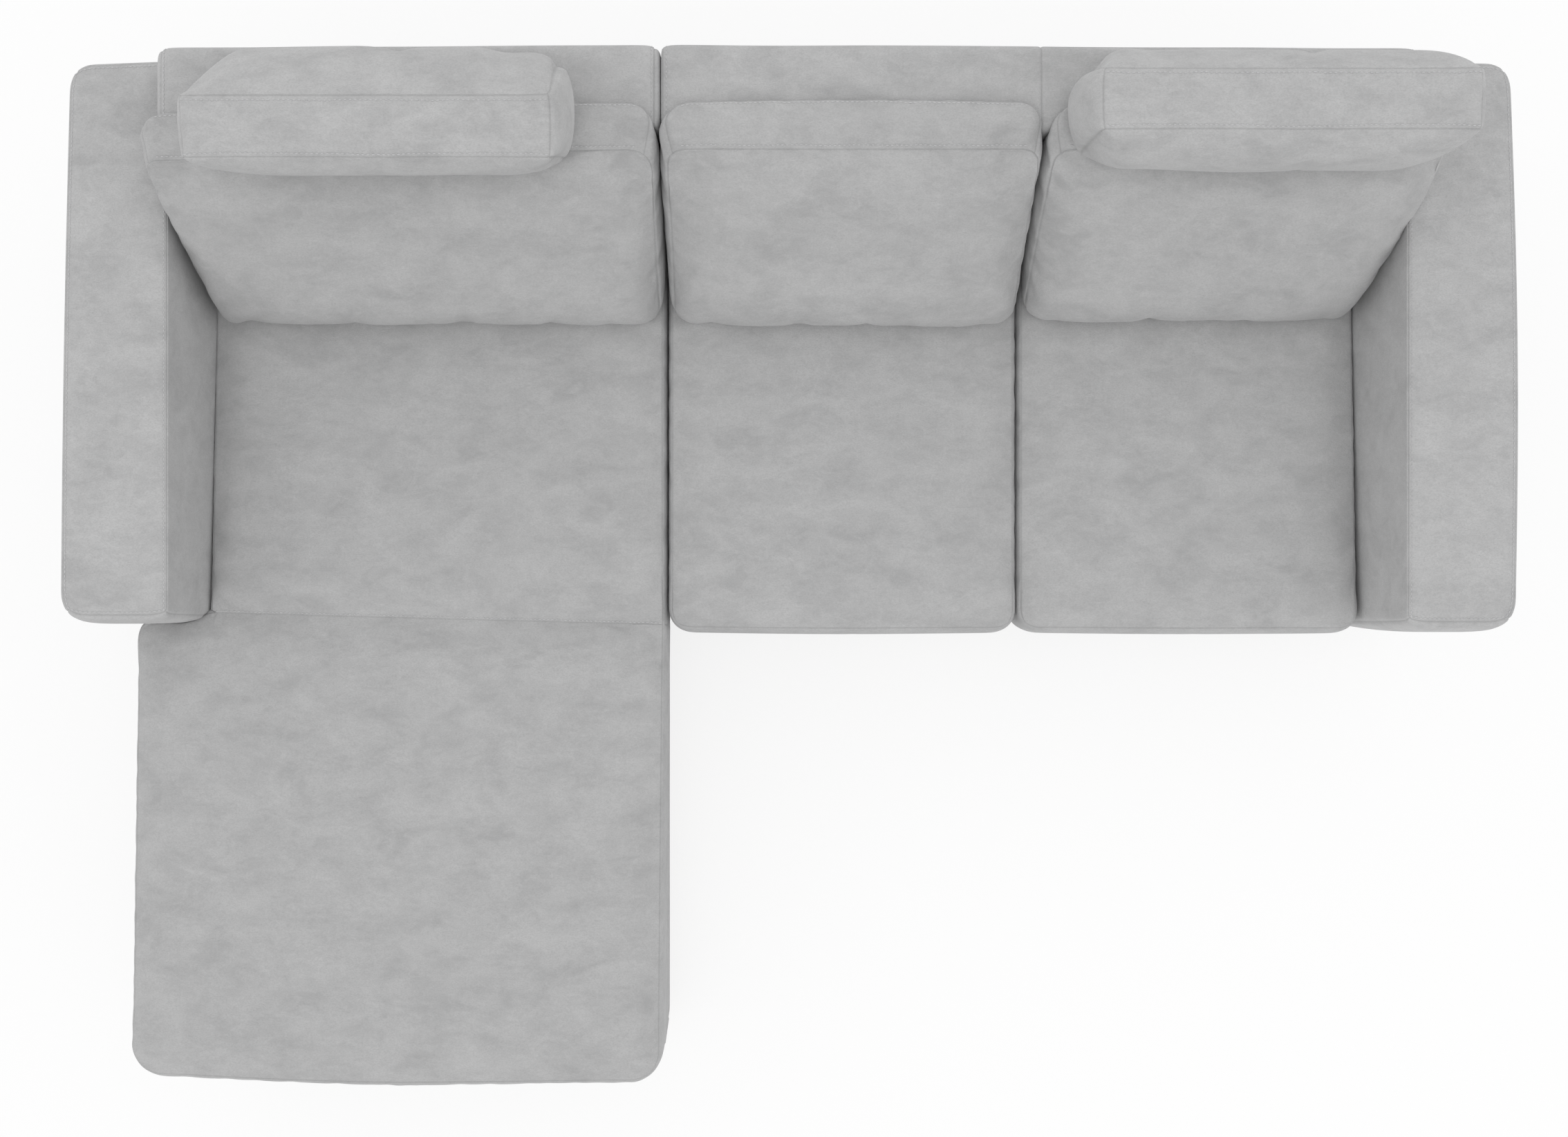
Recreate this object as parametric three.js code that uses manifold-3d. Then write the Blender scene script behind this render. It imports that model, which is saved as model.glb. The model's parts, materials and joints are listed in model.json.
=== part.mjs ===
// A sectional sofa with a chaise, upholstered in grey brushed fabric. It is two modules, hooked together side
// by side: a chaise with the left arm, and a two-seat unit with the right arm. Seat, back and head cushions
// lift off. Millimetres, +Z up, the front faces -Y, and the origin is on the floor under the sofa's middle.
import * as THREE from "three";
import { mergeVertices } from "three/addons/utils/BufferGeometryUtils.js";
import Module from "manifold-3d";

const wasm = await Module();
wasm.setup();

// Overall sizes.
const overallLength = 2600;
const overallDepth = 1892;
const seatModuleDepth = 1025;
const openSeatDepth = 589; // from the seat's front to the foot of the back cushions
const armHeight = 660;
const backHeight = 800;
const seatSeamHeight = 440;
const headHeight = 218;
const gap = 0.3;
const overrun = 5;

// Heights of the base, from the floor up.
const footHeight = 58;
const dustCoverThickness = 1;
const railHeight = 200;
const strapThickness = 1.5;
const deckThickness = 5;

// Widths along the sofa, from its left end.
const leftArmWidth = 177.5;
const rightArmWidth = 193.5;
const chaiseSeatWidth = 887;
const moduleGap = 6;
const middleSeatWidth = 661;
const seatGap = 4;

// Upholstery.
const backThickness = 146;
const borderThickness = 10;
const wingInset = 45.5; // the chaise's foot stands this far inside the left arm's outer side
const leftArmSetBack = 23; // how far each arm's front stays behind the front of the two-seat unit
const rightArmSetBack = 11;
const panelBulge = 12;
const frontPanelBulge = 15;
const frontRecess = 20; // the base stands this far behind the cushions' front
const sideRecess = 10;

// Timber and steel.
const boardThickness = 25;
const armFrameThickness = 90;
const backFrameThickness = 40;
const foamOverFrame = 30;

// Places that follow from the sizes above.
const leftEnd = -overallLength / 2;
const rightEnd = overallLength / 2;
const rearFace = overallDepth / 2;
const chaiseFront = -overallDepth / 2;
const seatFront = rearFace - seatModuleDepth;
const leftArmInner = leftEnd + leftArmWidth;
const rightArmInner = rightEnd - rightArmWidth;
const leftArmFront = seatFront + leftArmSetBack;
const rightArmFront = seatFront + rightArmSetBack;
const backCushionFront = seatFront + openSeatDepth;
const chaiseRight = leftArmInner + chaiseSeatWidth;
const seatUnitLeft = chaiseRight + moduleGap;
const middleSeatRight = seatUnitLeft + middleSeatWidth;
const rightSeatLeft = middleSeatRight + seatGap;
const wingLeft = leftEnd + wingInset;
const backFront = rearFace - backThickness;
const baseBottom = footHeight + gap + dustCoverThickness + gap;
const railTop = baseBottom + railHeight;
const webbingBottom = railTop + gap;
const deckBottom = webbingBottom + 2 * strapThickness + gap;
const seatBottom = deckBottom + deckThickness + gap;

const plainMaterial = (color, roughness, metalness = 0) =>
  new THREE.MeshStandardMaterial({ color, roughness, metalness });
const fabricMaterial = () => plainMaterial(0xb0b0b0, 0.95);
const timberMaterial = () => plainMaterial(0xc9a878, 0.8);
const webbingMaterial = () => plainMaterial(0x8a8378, 0.9);
const liningMaterial = () => plainMaterial(0x303032, 0.95);
const plasticMaterial = () => plainMaterial(0x1c1c1e, 0.5);
const steelMaterial = () => plainMaterial(0x9a9da2, 0.4, 1);

// Solids. Every piece ends as one closed solid, which is cut or joined here and becomes a mesh at the end.
const mergeDistance = 1e-3;

function solidFrom(geometry) {
  const bare = geometry.index ? geometry.toNonIndexed() : geometry.clone();
  bare.deleteAttribute("normal");
  bare.deleteAttribute("uv");
  const merged = mergeVertices(bare, mergeDistance);
  return new wasm.Manifold(
    new wasm.Mesh({
      numProp: 3,
      vertProperties: new Float32Array(merged.attributes.position.array),
      triVerts: new Uint32Array(merged.index.array),
    }),
  );
}

function geometryFrom(solid) {
  const mesh = solid.getMesh();
  const positions = new Float32Array(mesh.numVert * 3);
  for (let i = 0; i < mesh.numVert; i++) {
    positions.set(mesh.vertProperties.subarray(i * mesh.numProp, i * mesh.numProp + 3), i * 3);
  }
  const geometry = new THREE.BufferGeometry();
  geometry.setAttribute("position", new THREE.BufferAttribute(positions, 3));
  geometry.setIndex(new THREE.BufferAttribute(new Uint32Array(mesh.triVerts), 1));
  return geometry;
}

function boxSolid(x0, x1, y0, y1, z0, z1) {
  const box = new THREE.BoxGeometry(x1 - x0, y1 - y0, z1 - z0);
  box.translate((x0 + x1) / 2, (y0 + y1) / 2, (z0 + z1) / 2);
  return solidFrom(box);
}

// A mesh keeps its geometry round its own middle, and its position puts it in its place.
function addPiece(group, name, solid, material) {
  const geometry = geometryFrom(solid);
  geometry.computeBoundingBox();
  const middle = geometry.boundingBox.getCenter(new THREE.Vector3());
  geometry.translate(-middle.x, -middle.y, -middle.z);
  geometry.computeVertexNormals();
  const mesh = new THREE.Mesh(geometry, material);
  mesh.name = name;
  mesh.position.copy(middle);
  group.add(mesh);
  return mesh;
}

// Padded forms. An outline is a loop of corners, each with a radius and the bulge of the side that starts at
// it.
// Along a side the bulge swells from nothing at one corner to its full size at the middle and back.
const arcSteps = 3;
const leastRadiusShare = 1 / 3;

function outlinePoints(corners, inset, bulgeShare) {
  const count = corners.length;
  const directions = corners.map((corner, i) => {
    const next = corners[(i + 1) % count];
    return new THREE.Vector2(next.x - corner.x, next.y - corner.y).normalize();
  });
  const arcs = corners.map((corner, i) => {
    const before = directions[(i + count - 1) % count];
    const after = directions[i];
    const inBefore = new THREE.Vector2(-before.y, before.x);
    const inAfter = new THREE.Vector2(-after.y, after.x);
    const shift = inset / (1 + inBefore.dot(inAfter));
    const tip = new THREE.Vector2(corner.x, corner.y).addScaledVector(inBefore.clone().add(inAfter), shift);
    const radius = Math.max(corner.radius - inset, corner.radius * leastRadiusShare);
    const turn = Math.atan2(before.cross(after), before.dot(after));
    const start = tip.clone().addScaledVector(before, -radius * Math.tan(turn / 2));
    const centre = start.clone().addScaledVector(inBefore, radius);
    return Array.from({ length: arcSteps + 1 }, (_, k) =>
      start.clone().rotateAround(centre, (turn * k) / arcSteps),
    );
  });
  const points = [];
  corners.forEach((corner, i) => {
    points.push(...arcs[i]);
    const from = arcs[i][arcSteps];
    const to = arcs[(i + 1) % count][0];
    const out = new THREE.Vector2(directions[i].y, -directions[i].x);
    for (let k = 1; k < corner.sideSteps; k++) {
      const share = k / corner.sideSteps;
      const swell = corner.bulge * bulgeShare * Math.sin(Math.PI * share);
      points.push(from.clone().lerp(to, share).addScaledVector(out, swell));
    }
  });
  return points;
}

// Closes a stack of loops with a fan at each end.
function loftSolid(loops, firstCentre, lastCentre, place) {
  const size = loops[0].length;
  const points = [...loops.flat(), firstCentre, lastCentre].map((p) => (place ? place(p.clone()) : p));
  const triangles = [];
  for (let level = 0; level < loops.length - 1; level++) {
    for (let k = 0; k < size; k++) {
      const a = level * size + k;
      const b = level * size + ((k + 1) % size);
      triangles.push(a, b, b + size, a, b + size, a + size);
    }
  }
  const last = (loops.length - 1) * size;
  const firstIndex = loops.length * size;
  for (let k = 0; k < size; k++) {
    const next = (k + 1) % size;
    triangles.push(next, k, firstIndex);
    triangles.push(last + k, last + next, firstIndex + 1);
  }
  const geometry = new THREE.BufferGeometry();
  geometry.setAttribute("position", new THREE.Float32BufferAttribute(points.flatMap((p) => p.toArray()), 3));
  geometry.setIndex(triangles);
  return solidFrom(geometry);
}

// A padded block: sides that swell or draw in between rounded edges, and a crown over one or both faces.
const edgeInsetShare = 0.55;
const edgeSwellShare = 0.45;
const crownShares = [0.15, 0.4, 0.7];
const crownPower = 2.4;

function middleOf(loop) {
  return loop.reduce((sum, p) => sum.add(p), new THREE.Vector3()).divideScalar(loop.length);
}

function paddedBlock({ corners, bottom, top, edge, crown, crownBelow = 0, sideLevels, place }) {
  const level = (z, inset, bulgeShare) =>
    outlinePoints(corners, inset, bulgeShare).map((p) => new THREE.Vector3(p.x, p.y, z));
  const rim = edge * edgeInsetShare;
  const firstLoop = level(bottom, rim, 0);
  const lastLoop = level(top, rim, 0);
  const firstCentre = middleOf(firstLoop);
  const lastCentre = middleOf(lastLoop);
  const halfWidth = Math.max(...lastLoop.map((p) => Math.abs(p.x - lastCentre.x)));
  const halfDepth = Math.max(...lastLoop.map((p) => Math.abs(p.y - lastCentre.y)));
  const domeAt = (p) =>
    (1 - Math.abs((p.x - lastCentre.x) / halfWidth) ** crownPower) *
    (1 - Math.abs((p.y - lastCentre.y) / halfDepth) ** crownPower);
  const dome = (loop, centre, share, height) =>
    loop.map((p) => {
      const q = p.clone().lerp(centre, share);
      q.z += height * domeAt(q);
      return q;
    });
  const loops = [];
  if (crownBelow) {
    [...crownShares].reverse().forEach((share) => {
      loops.push(dome(firstLoop, firstCentre, share, -crownBelow));
    });
  }
  loops.push(firstLoop);
  const low = bottom + edge;
  const high = top - edge;
  [low, ...(sideLevels ?? [(low + high) / 2]), high].forEach((z) => {
    const swell = Math.sin((Math.PI * (z - low)) / (high - low));
    loops.push(level(z, 0, THREE.MathUtils.lerp(edgeSwellShare, 1, swell)));
  });
  loops.push(lastLoop);
  crownShares.forEach((share) => loops.push(dome(lastLoop, lastCentre, share, crown)));
  firstCentre.z -= crownBelow;
  lastCentre.z += crown;
  return loftSolid(loops, firstCentre, lastCentre, place);
}

function rectangle({ left, right, front, rear, radius, bulges, steps }) {
  const corner = (x, y, i) => ({ x, y, radius, bulge: bulges[i], sideSteps: steps[i] });
  return [corner(left, front, 0), corner(right, front, 1), corner(right, rear, 2), corner(left, rear, 3)];
}

// Timber base. Boards stand on edge and butt together, and each one is a piece of its own.
const sofa = new THREE.Group();
const chaiseUnit = new THREE.Group();
const seatUnit = new THREE.Group();
const looseCushions = new THREE.Group();
sofa.add(chaiseUnit, seatUnit, looseCushions);

const wingRear = leftArmFront - moduleGap;
const chaiseBase = {
  left: wingLeft + frontRecess,
  right: chaiseRight - sideRecess,
  front: chaiseFront + frontRecess,
  rear: backFront - gap,
  armSide: leftArmInner + gap,
};
const seatBase = {
  left: seatUnitLeft + sideRecess,
  right: rightArmInner - gap,
  front: seatFront + frontRecess,
  rear: backFront - gap,
};
const borderAndGap = borderThickness + gap;
const chaiseRails = {
  left: chaiseBase.left + borderAndGap,
  right: chaiseBase.right - borderAndGap,
  front: chaiseBase.front + borderAndGap,
};
const seatRails = { left: seatBase.left + borderAndGap, front: seatBase.front + borderAndGap };
const crossRailRear = wingRear - borderAndGap;

// A bolt goes through a side rail into the arm's frame, at two places along the arm.
const boltRadius = 5;
const boltHoleRadius = boltRadius + gap;
const boltLength = 90;
const boltHeadWidth = 17;
const boltHeadSides = 6;
const boltHeadThickness = 7;
const boltHeight = baseBottom + railHeight / 2;
const boltSides = 12;
const armBoltFrontInset = 190;
const armBoltRearInset = 250;
const boltPlaces = (armFront) => [armFront + armBoltFrontInset, rearFace - armBoltRearInset];

function rodAlongX(radius, sides, x0, x1, y, z) {
  const rod = new THREE.CylinderGeometry(radius, radius, x1 - x0, sides);
  rod.rotateZ(Math.PI / 2);
  rod.translate((x0 + x1) / 2, y, z);
  return solidFrom(rod);
}

function boltHoles(solid, x0, x1, armFront) {
  return boltPlaces(armFront).reduce(
    (rest, y) => rest.subtract(rodAlongX(boltHoleRadius, boltSides, x0, x1, y, boltHeight)),
    solid,
  );
}

function addBoard(group, name, x0, x1, y0, y1) {
  addPiece(group, name, boxSolid(x0, x1, y0, y1, baseBottom, railTop), timberMaterial());
}

function addDrilledBoard(group, name, x0, x1, y0, y1, armFront) {
  const board = boxSolid(x0, x1, y0, y1, baseBottom, railTop);
  addPiece(group, name, boltHoles(board, x0 - overrun, x1 + overrun, armFront), timberMaterial());
}

const chaiseRailEnd = chaiseBase.rear - boardThickness - gap;
const chaiseRailStart = chaiseRails.front + boardThickness + gap;
addBoard(chaiseUnit, "chaise_front_rail", chaiseRails.left, chaiseRails.right, chaiseRails.front,
  chaiseRails.front + boardThickness);
addBoard(chaiseUnit, "chaise_foot_side_rail", chaiseRails.left, chaiseRails.left + boardThickness,
  chaiseRailStart, crossRailRear);
addBoard(chaiseUnit, "chaise_cross_rail", chaiseRails.left + boardThickness + gap,
  chaiseRails.right - boardThickness - gap, crossRailRear - boardThickness, crossRailRear);
addDrilledBoard(chaiseUnit, "chaise_left_rail", chaiseBase.armSide, chaiseBase.armSide + boardThickness,
  crossRailRear + gap, chaiseRailEnd, leftArmFront);
addBoard(chaiseUnit, "chaise_right_rail", chaiseRails.right - boardThickness, chaiseRails.right,
  chaiseRailStart, chaiseRailEnd);
addBoard(chaiseUnit, "chaise_rear_rail", chaiseBase.armSide, chaiseRails.right,
  chaiseBase.rear - boardThickness, chaiseBase.rear);

const seatRailStart = seatRails.front + boardThickness + gap;
const centreRailX = (middleSeatRight + rightSeatLeft) / 2;
addBoard(seatUnit, "seat_front_rail", seatRails.left, seatBase.right, seatRails.front,
  seatRails.front + boardThickness);
addBoard(seatUnit, "seat_left_rail", seatRails.left, seatRails.left + boardThickness, seatRailStart,
  chaiseRailEnd);
addBoard(seatUnit, "seat_centre_rail", centreRailX - boardThickness / 2, centreRailX + boardThickness / 2,
  seatRailStart, chaiseRailEnd);
addDrilledBoard(seatUnit, "seat_right_rail", seatBase.right - boardThickness, seatBase.right, seatRailStart,
  chaiseRailEnd, rightArmFront);
addBoard(seatUnit, "seat_rear_rail", seatRails.left, seatBase.right, seatBase.rear - boardThickness,
  seatBase.rear);

// Upholstered borders: thin padded panels on the open faces of the base, with rounded upright edges.
const borderEdge = 4;
const borderEdgeSteps = 3;

function addBorder(group, name, x0, x1, y0, y1) {
  const outline = new THREE.Shape();
  outline.moveTo(x0 + borderEdge, y0);
  outline.absarc(x1 - borderEdge, y0 + borderEdge, borderEdge, -Math.PI / 2, 0);
  outline.absarc(x1 - borderEdge, y1 - borderEdge, borderEdge, 0, Math.PI / 2);
  outline.absarc(x0 + borderEdge, y1 - borderEdge, borderEdge, Math.PI / 2, Math.PI);
  outline.absarc(x0 + borderEdge, y0 + borderEdge, borderEdge, Math.PI, 1.5 * Math.PI);
  const panel = new THREE.ExtrudeGeometry(outline, {
    depth: railHeight, bevelEnabled: false, curveSegments: borderEdgeSteps,
  });
  panel.translate(0, 0, baseBottom);
  addPiece(group, name, solidFrom(panel), fabricMaterial());
}

const sideBorderStart = chaiseBase.front + borderAndGap;
addBorder(chaiseUnit, "chaise_front_border", chaiseBase.left, chaiseBase.right, chaiseBase.front,
  chaiseBase.front + borderThickness);
addBorder(chaiseUnit, "chaise_foot_side_border", chaiseBase.left, chaiseBase.left + borderThickness,
  sideBorderStart, crossRailRear);
addBorder(chaiseUnit, "chaise_foot_rear_border", chaiseBase.left, chaiseBase.armSide - gap,
  wingRear - borderThickness, wingRear);
addBorder(chaiseUnit, "chaise_right_border", chaiseBase.right - borderThickness, chaiseBase.right,
  sideBorderStart, chaiseBase.rear);
addBorder(seatUnit, "seat_front_border", seatBase.left, seatBase.right, seatBase.front,
  seatBase.front + borderThickness);
addBorder(seatUnit, "seat_left_border", seatBase.left, seatBase.left + borderThickness,
  seatBase.front + borderAndGap, seatBase.rear);

// Webbing: belts stretched over the rails both ways and stapled together where they cross.
const strapWidth = 50;

function webbing({ left, right, front, rear, across, along }) {
  const straps = [];
  const crossing = webbingBottom + strapThickness;
  for (let i = 0; i < along; i++) {
    const middle = left + ((right - left) * (i + 0.5)) / along;
    const strapLeft = middle - strapWidth / 2;
    straps.push(boxSolid(strapLeft, strapLeft + strapWidth, front, rear, webbingBottom, crossing));
  }
  for (let i = 0; i < across; i++) {
    const middle = front + ((rear - front) * (i + 0.5)) / across;
    const strapFront = middle - strapWidth / 2;
    const strapRear = strapFront + strapWidth;
    straps.push(boxSolid(left, right, strapFront, strapRear, crossing, crossing + strapThickness));
  }
  return straps.reduce((mat, strap) => mat.add(strap));
}

const crossRailMiddle = crossRailRear - boardThickness / 2;
addPiece(chaiseUnit, "chaise_front_webbing", webbing({
  left: chaiseRails.left, right: chaiseRails.right, front: chaiseRails.front, rear: crossRailMiddle - gap,
  across: 5, along: 6,
}), webbingMaterial());
addPiece(chaiseUnit, "chaise_rear_webbing", webbing({
  left: chaiseBase.armSide, right: chaiseRails.right, front: crossRailMiddle + gap, rear: chaiseBase.rear,
  across: 6, along: 5,
}), webbingMaterial());
addPiece(seatUnit, "middle_seat_webbing", webbing({
  left: seatRails.left, right: centreRailX - gap, front: seatRails.front, rear: seatBase.rear,
  across: 6, along: 4,
}), webbingMaterial());
addPiece(seatUnit, "right_seat_webbing", webbing({
  left: centreRailX + gap, right: seatBase.right, front: seatRails.front, rear: seatBase.rear,
  across: 6, along: 4,
}), webbingMaterial());

// The deck is the felt and cloth that the seat cushions lie on. The dust cover closes the base from below.
const dustCoverInset = 12;

function footprint(inset, z0, z1) {
  const foot = boxSolid(chaiseRails.left + inset, chaiseRails.right - inset, chaiseRails.front + inset,
    crossRailRear - inset, z0, z1);
  const body = boxSolid(chaiseBase.armSide + inset, chaiseRails.right - inset,
    crossRailRear - boardThickness - inset, chaiseBase.rear - inset, z0, z1);
  return foot.add(body);
}

addPiece(chaiseUnit, "chaise_deck", footprint(0, deckBottom, deckBottom + deckThickness), liningMaterial());
addPiece(chaiseUnit, "chaise_dust_cover", footprint(dustCoverInset, footHeight + gap, baseBottom - gap),
  liningMaterial());
addPiece(seatUnit, "seat_deck", boxSolid(seatRails.left, seatBase.right, seatRails.front, seatBase.rear,
  deckBottom, deckBottom + deckThickness), liningMaterial());
addPiece(seatUnit, "seat_dust_cover", boxSolid(seatRails.left + dustCoverInset,
  seatBase.right - dustCoverInset, seatRails.front + dustCoverInset, seatBase.rear - dustCoverInset,
  footHeight + gap, baseBottom - gap), liningMaterial());

// Feet: moulded round feet with a flange at the top, a taper and a glide underneath.
const footTopRadius = 32;
const footNeckRadius = 28;
const footBottomRadius = 23;
const glideRadius = 17;
const footFlangeThickness = 6;
const footChamfer = 3;
const glideThickness = 4;
const footInset = 48;
const footSides = 12;

function addFoot(group, name, x, y) {
  const profile = [
    new THREE.Vector2(0, 0),
    new THREE.Vector2(glideRadius, 0),
    new THREE.Vector2(glideRadius, glideThickness),
    new THREE.Vector2(footBottomRadius - footChamfer, glideThickness),
    new THREE.Vector2(footBottomRadius, glideThickness + footChamfer),
    new THREE.Vector2(footNeckRadius, footHeight - footFlangeThickness),
    new THREE.Vector2(footTopRadius, footHeight - footFlangeThickness),
    new THREE.Vector2(footTopRadius, footHeight),
    new THREE.Vector2(0, footHeight),
  ];
  const foot = new THREE.LatheGeometry(profile, footSides);
  foot.rotateX(Math.PI / 2);
  foot.translate(x, y, 0);
  addPiece(group, name, solidFrom(foot), plasticMaterial());
}

addFoot(chaiseUnit, "chaise_front_left_foot", chaiseRails.left + footInset, chaiseRails.front + footInset);
addFoot(chaiseUnit, "chaise_front_right_foot", chaiseRails.right - footInset, chaiseRails.front + footInset);
addFoot(chaiseUnit, "chaise_middle_left_foot", chaiseRails.left + footInset, crossRailRear - footInset);
addFoot(chaiseUnit, "chaise_rear_left_foot", chaiseBase.armSide + footInset, chaiseBase.rear - footInset);
addFoot(chaiseUnit, "chaise_rear_right_foot", chaiseRails.right - footInset, chaiseBase.rear - footInset);
addFoot(seatUnit, "seat_front_left_foot", seatRails.left + footInset, seatRails.front + footInset);
addFoot(seatUnit, "seat_front_right_foot", seatBase.right - footInset, seatRails.front + footInset);
addFoot(seatUnit, "seat_rear_left_foot", seatRails.left + footInset, seatBase.rear - footInset);
addFoot(seatUnit, "seat_rear_right_foot", seatBase.right - footInset, seatBase.rear - footInset);

// Arms. The frame is a ladder of timber, and the padded cover drops over it from above like a sleeve.
const armEdge = 24;
const armCornerRadius = 34;
const armCrown = 8;
const armLevelShares = [0, 0.2, 0.42, 0.7];
const armFlareFront = 14; // how far the inner side swells over the seat, at the arm's front
const armFlareRear = 36; // and beside the back cushion
const ladderPostWidth = 30;
const armLadderColumns = 4;
const armLadderRows = 2;

// Posts and rails halved into each other, as one glued frame. It runs along X, or with alongY along Y.
function ladderFrame({ start, end, front, rear, height, columns, rows, alongY }) {
  const board = (u0, u1, z0, z1) =>
    alongY
      ? boxSolid(front, rear, u0, u1, baseBottom + z0, baseBottom + z1)
      : boxSolid(u0, u1, front, rear, baseBottom + z0, baseBottom + z1);
  const postPitch = (end - start - ladderPostWidth) / columns;
  const railPitch = (height - ladderPostWidth) / rows;
  const boards = [];
  for (let i = 0; i <= columns; i++) {
    const u = start + i * postPitch;
    boards.push(board(u, u + ladderPostWidth, 0, height));
  }
  for (let k = 0; k <= rows; k++) {
    const z = k * railPitch;
    boards.push(board(start, end, z, z + ladderPostWidth));
  }
  return boards.reduce((frame, next) => frame.add(next));
}

function armFlare(y, z, front) {
  const along = THREE.MathUtils.clamp((y - front) / (backCushionFront - front), 0, 1);
  const beforeBack = 1 - THREE.MathUtils.smoothstep(y, backCushionFront, backFront - armEdge);
  const reach = THREE.MathUtils.lerp(armFlareFront, armFlareRear, along) * beforeBack;
  const rise = THREE.MathUtils.clamp((z - seatBottom) / (armHeight - seatBottom), 0, 1);
  return reach * Math.sin(Math.PI * Math.sqrt(rise));
}

function addArm(group, side, width, front) {
  const inner = side * (rightEnd - width);
  const outer = side * (rightEnd - panelBulge);
  const name = side < 0 ? "left" : "right";
  const left = Math.min(inner, outer);
  const right = Math.max(inner, outer);
  const seamFront = front + frontPanelBulge;
  const seamRear = rearFace - panelBulge;
  const rightSideBulge = side < 0 ? 0 : panelBulge;
  const leftSideBulge = side < 0 ? panelBulge : 0;
  const cover = paddedBlock({
    corners: rectangle({
      left, right, front: seamFront, rear: seamRear, radius: armCornerRadius,
      bulges: [frontPanelBulge, rightSideBulge, panelBulge, leftSideBulge], steps: [4, 10, 4, 10],
    }),
    bottom: baseBottom, top: armHeight - armCrown, edge: armEdge, crown: armCrown,
    sideLevels: armLevelShares.map((share) => THREE.MathUtils.lerp(seatBottom, armHeight, share)),
    place: (p) => {
      const nearInner = (p.x - outer) / (inner - outer);
      p.x -= side * armFlare(p.y, p.z, front) * THREE.MathUtils.clamp(nearInner, 0, 1);
      return p;
    },
  });
  const frameMiddle = (inner + outer) / 2;
  const frameLeft = frameMiddle - armFrameThickness / 2;
  const frameRight = frameMiddle + armFrameThickness / 2;
  const frameFront = seamFront + foamOverFrame;
  const frameRear = seamRear - foamOverFrame;
  const frameTop = armHeight - armCrown - foamOverFrame;
  const slot = boxSolid(frameLeft - gap, frameRight + gap, frameFront - gap, frameRear + gap,
    baseBottom - overrun, frameTop + gap);
  const frame = ladderFrame({
    start: frameFront, end: frameRear, front: frameLeft, rear: frameRight, height: frameTop - baseBottom,
    columns: armLadderColumns, rows: armLadderRows, alongY: true,
  });
  const boltTipX = inner + side * (boltLength - boardThickness);
  const drillStart = Math.min(inner - side * overrun, boltTipX + side * overrun);
  const drillEnd = Math.max(inner - side * overrun, boltTipX + side * overrun);
  const sleeve = boltHoles(cover.subtract(slot), drillStart, drillEnd, front);
  addPiece(group, name + "_arm_cover", sleeve, fabricMaterial());
  addPiece(group, name + "_arm_frame", boltHoles(frame, drillStart, drillEnd, front), timberMaterial());
  boltPlaces(front).forEach((y, i) => {
    const headInner = inner - side * (boardThickness + 2 * gap);
    const shankX = [headInner, boltTipX].sort((a, b) => a - b);
    const headX = [headInner, headInner - side * boltHeadThickness].sort((a, b) => a - b);
    const shank = rodAlongX(boltRadius, boltSides, shankX[0], shankX[1], y, boltHeight);
    const head = rodAlongX(boltHeadWidth / Math.sqrt(3), boltHeadSides, headX[0], headX[1], y, boltHeight);
    addPiece(group, name + (i ? "_arm_rear_bolt" : "_arm_front_bolt"), shank.add(head), steelMaterial());
  });
}

addArm(chaiseUnit, -1, leftArmWidth, leftArmFront);
addArm(seatUnit, 1, rightArmWidth, rightArmFront);

// Backs: a timber grid in a padded cover, standing on the floor side of the rear rail and between the arms.
const backEdge = 26;
const backCornerRadius = 22;
const backCrown = 8;
const backBulge = 10;
const backLadderRows = 3;
const chaiseBackColumns = 4;
const seatBackColumns = 6;

function addBack(group, name, x0, x1, columns) {
  const cover = paddedBlock({
    corners: rectangle({
      left: x0, right: x1, front: backFront, rear: rearFace - backBulge, radius: backCornerRadius,
      bulges: [0, 0, backBulge, 0], steps: [6, 3, 6, 3],
    }),
    bottom: baseBottom, top: backHeight - backCrown, edge: backEdge, crown: backCrown,
    sideLevels: [seatBottom, armHeight],
  });
  const frameLeft = x0 + foamOverFrame;
  const frameRight = x1 - foamOverFrame;
  const frameFront = (backFront + rearFace - backFrameThickness) / 2;
  const frameRear = frameFront + backFrameThickness;
  const frameTop = backHeight - backCrown - foamOverFrame;
  const slot = boxSolid(frameLeft - gap, frameRight + gap, frameFront - gap, frameRear + gap,
    baseBottom - overrun, frameTop + gap);
  const frame = ladderFrame({
    start: frameLeft, end: frameRight, front: frameFront, rear: frameRear, height: frameTop - baseBottom,
    columns, rows: backLadderRows, alongY: false,
  });
  const sleeve = cover.subtract(slot);
  addPiece(group, name + "_back_cover", sleeve, fabricMaterial());
  addPiece(group, name + "_back_frame", frame, timberMaterial());
  return sleeve;
}

const chaiseBackCover = addBack(chaiseUnit, "chaise", leftArmInner + gap, chaiseRight, chaiseBackColumns);
const seatBackCover = addBack(seatUnit, "seat", seatUnitLeft, rightArmInner - gap, seatBackColumns);

// Connectors: bent steel strips under the side rails. The hook on the two-seat unit drops over the lip on the
// chaise.
const connectorWidth = 50;
const connectorThickness = 3;
const connectorPlate = 60;
const lipHeight = 16;
const hookHeight = 22;
const hookReach = 18;
const connectorFrontInset = 150;
const connectorRearInset = 200;

function bentStrip(points, y) {
  const shape = new THREE.Shape(points.map(([x, z]) => new THREE.Vector2(x, z)));
  const strip = new THREE.ExtrudeGeometry(shape, { depth: connectorWidth, bevelEnabled: false });
  strip.rotateX(Math.PI / 2);
  strip.translate(0, y + connectorWidth / 2, 0);
  return solidFrom(strip);
}

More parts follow.
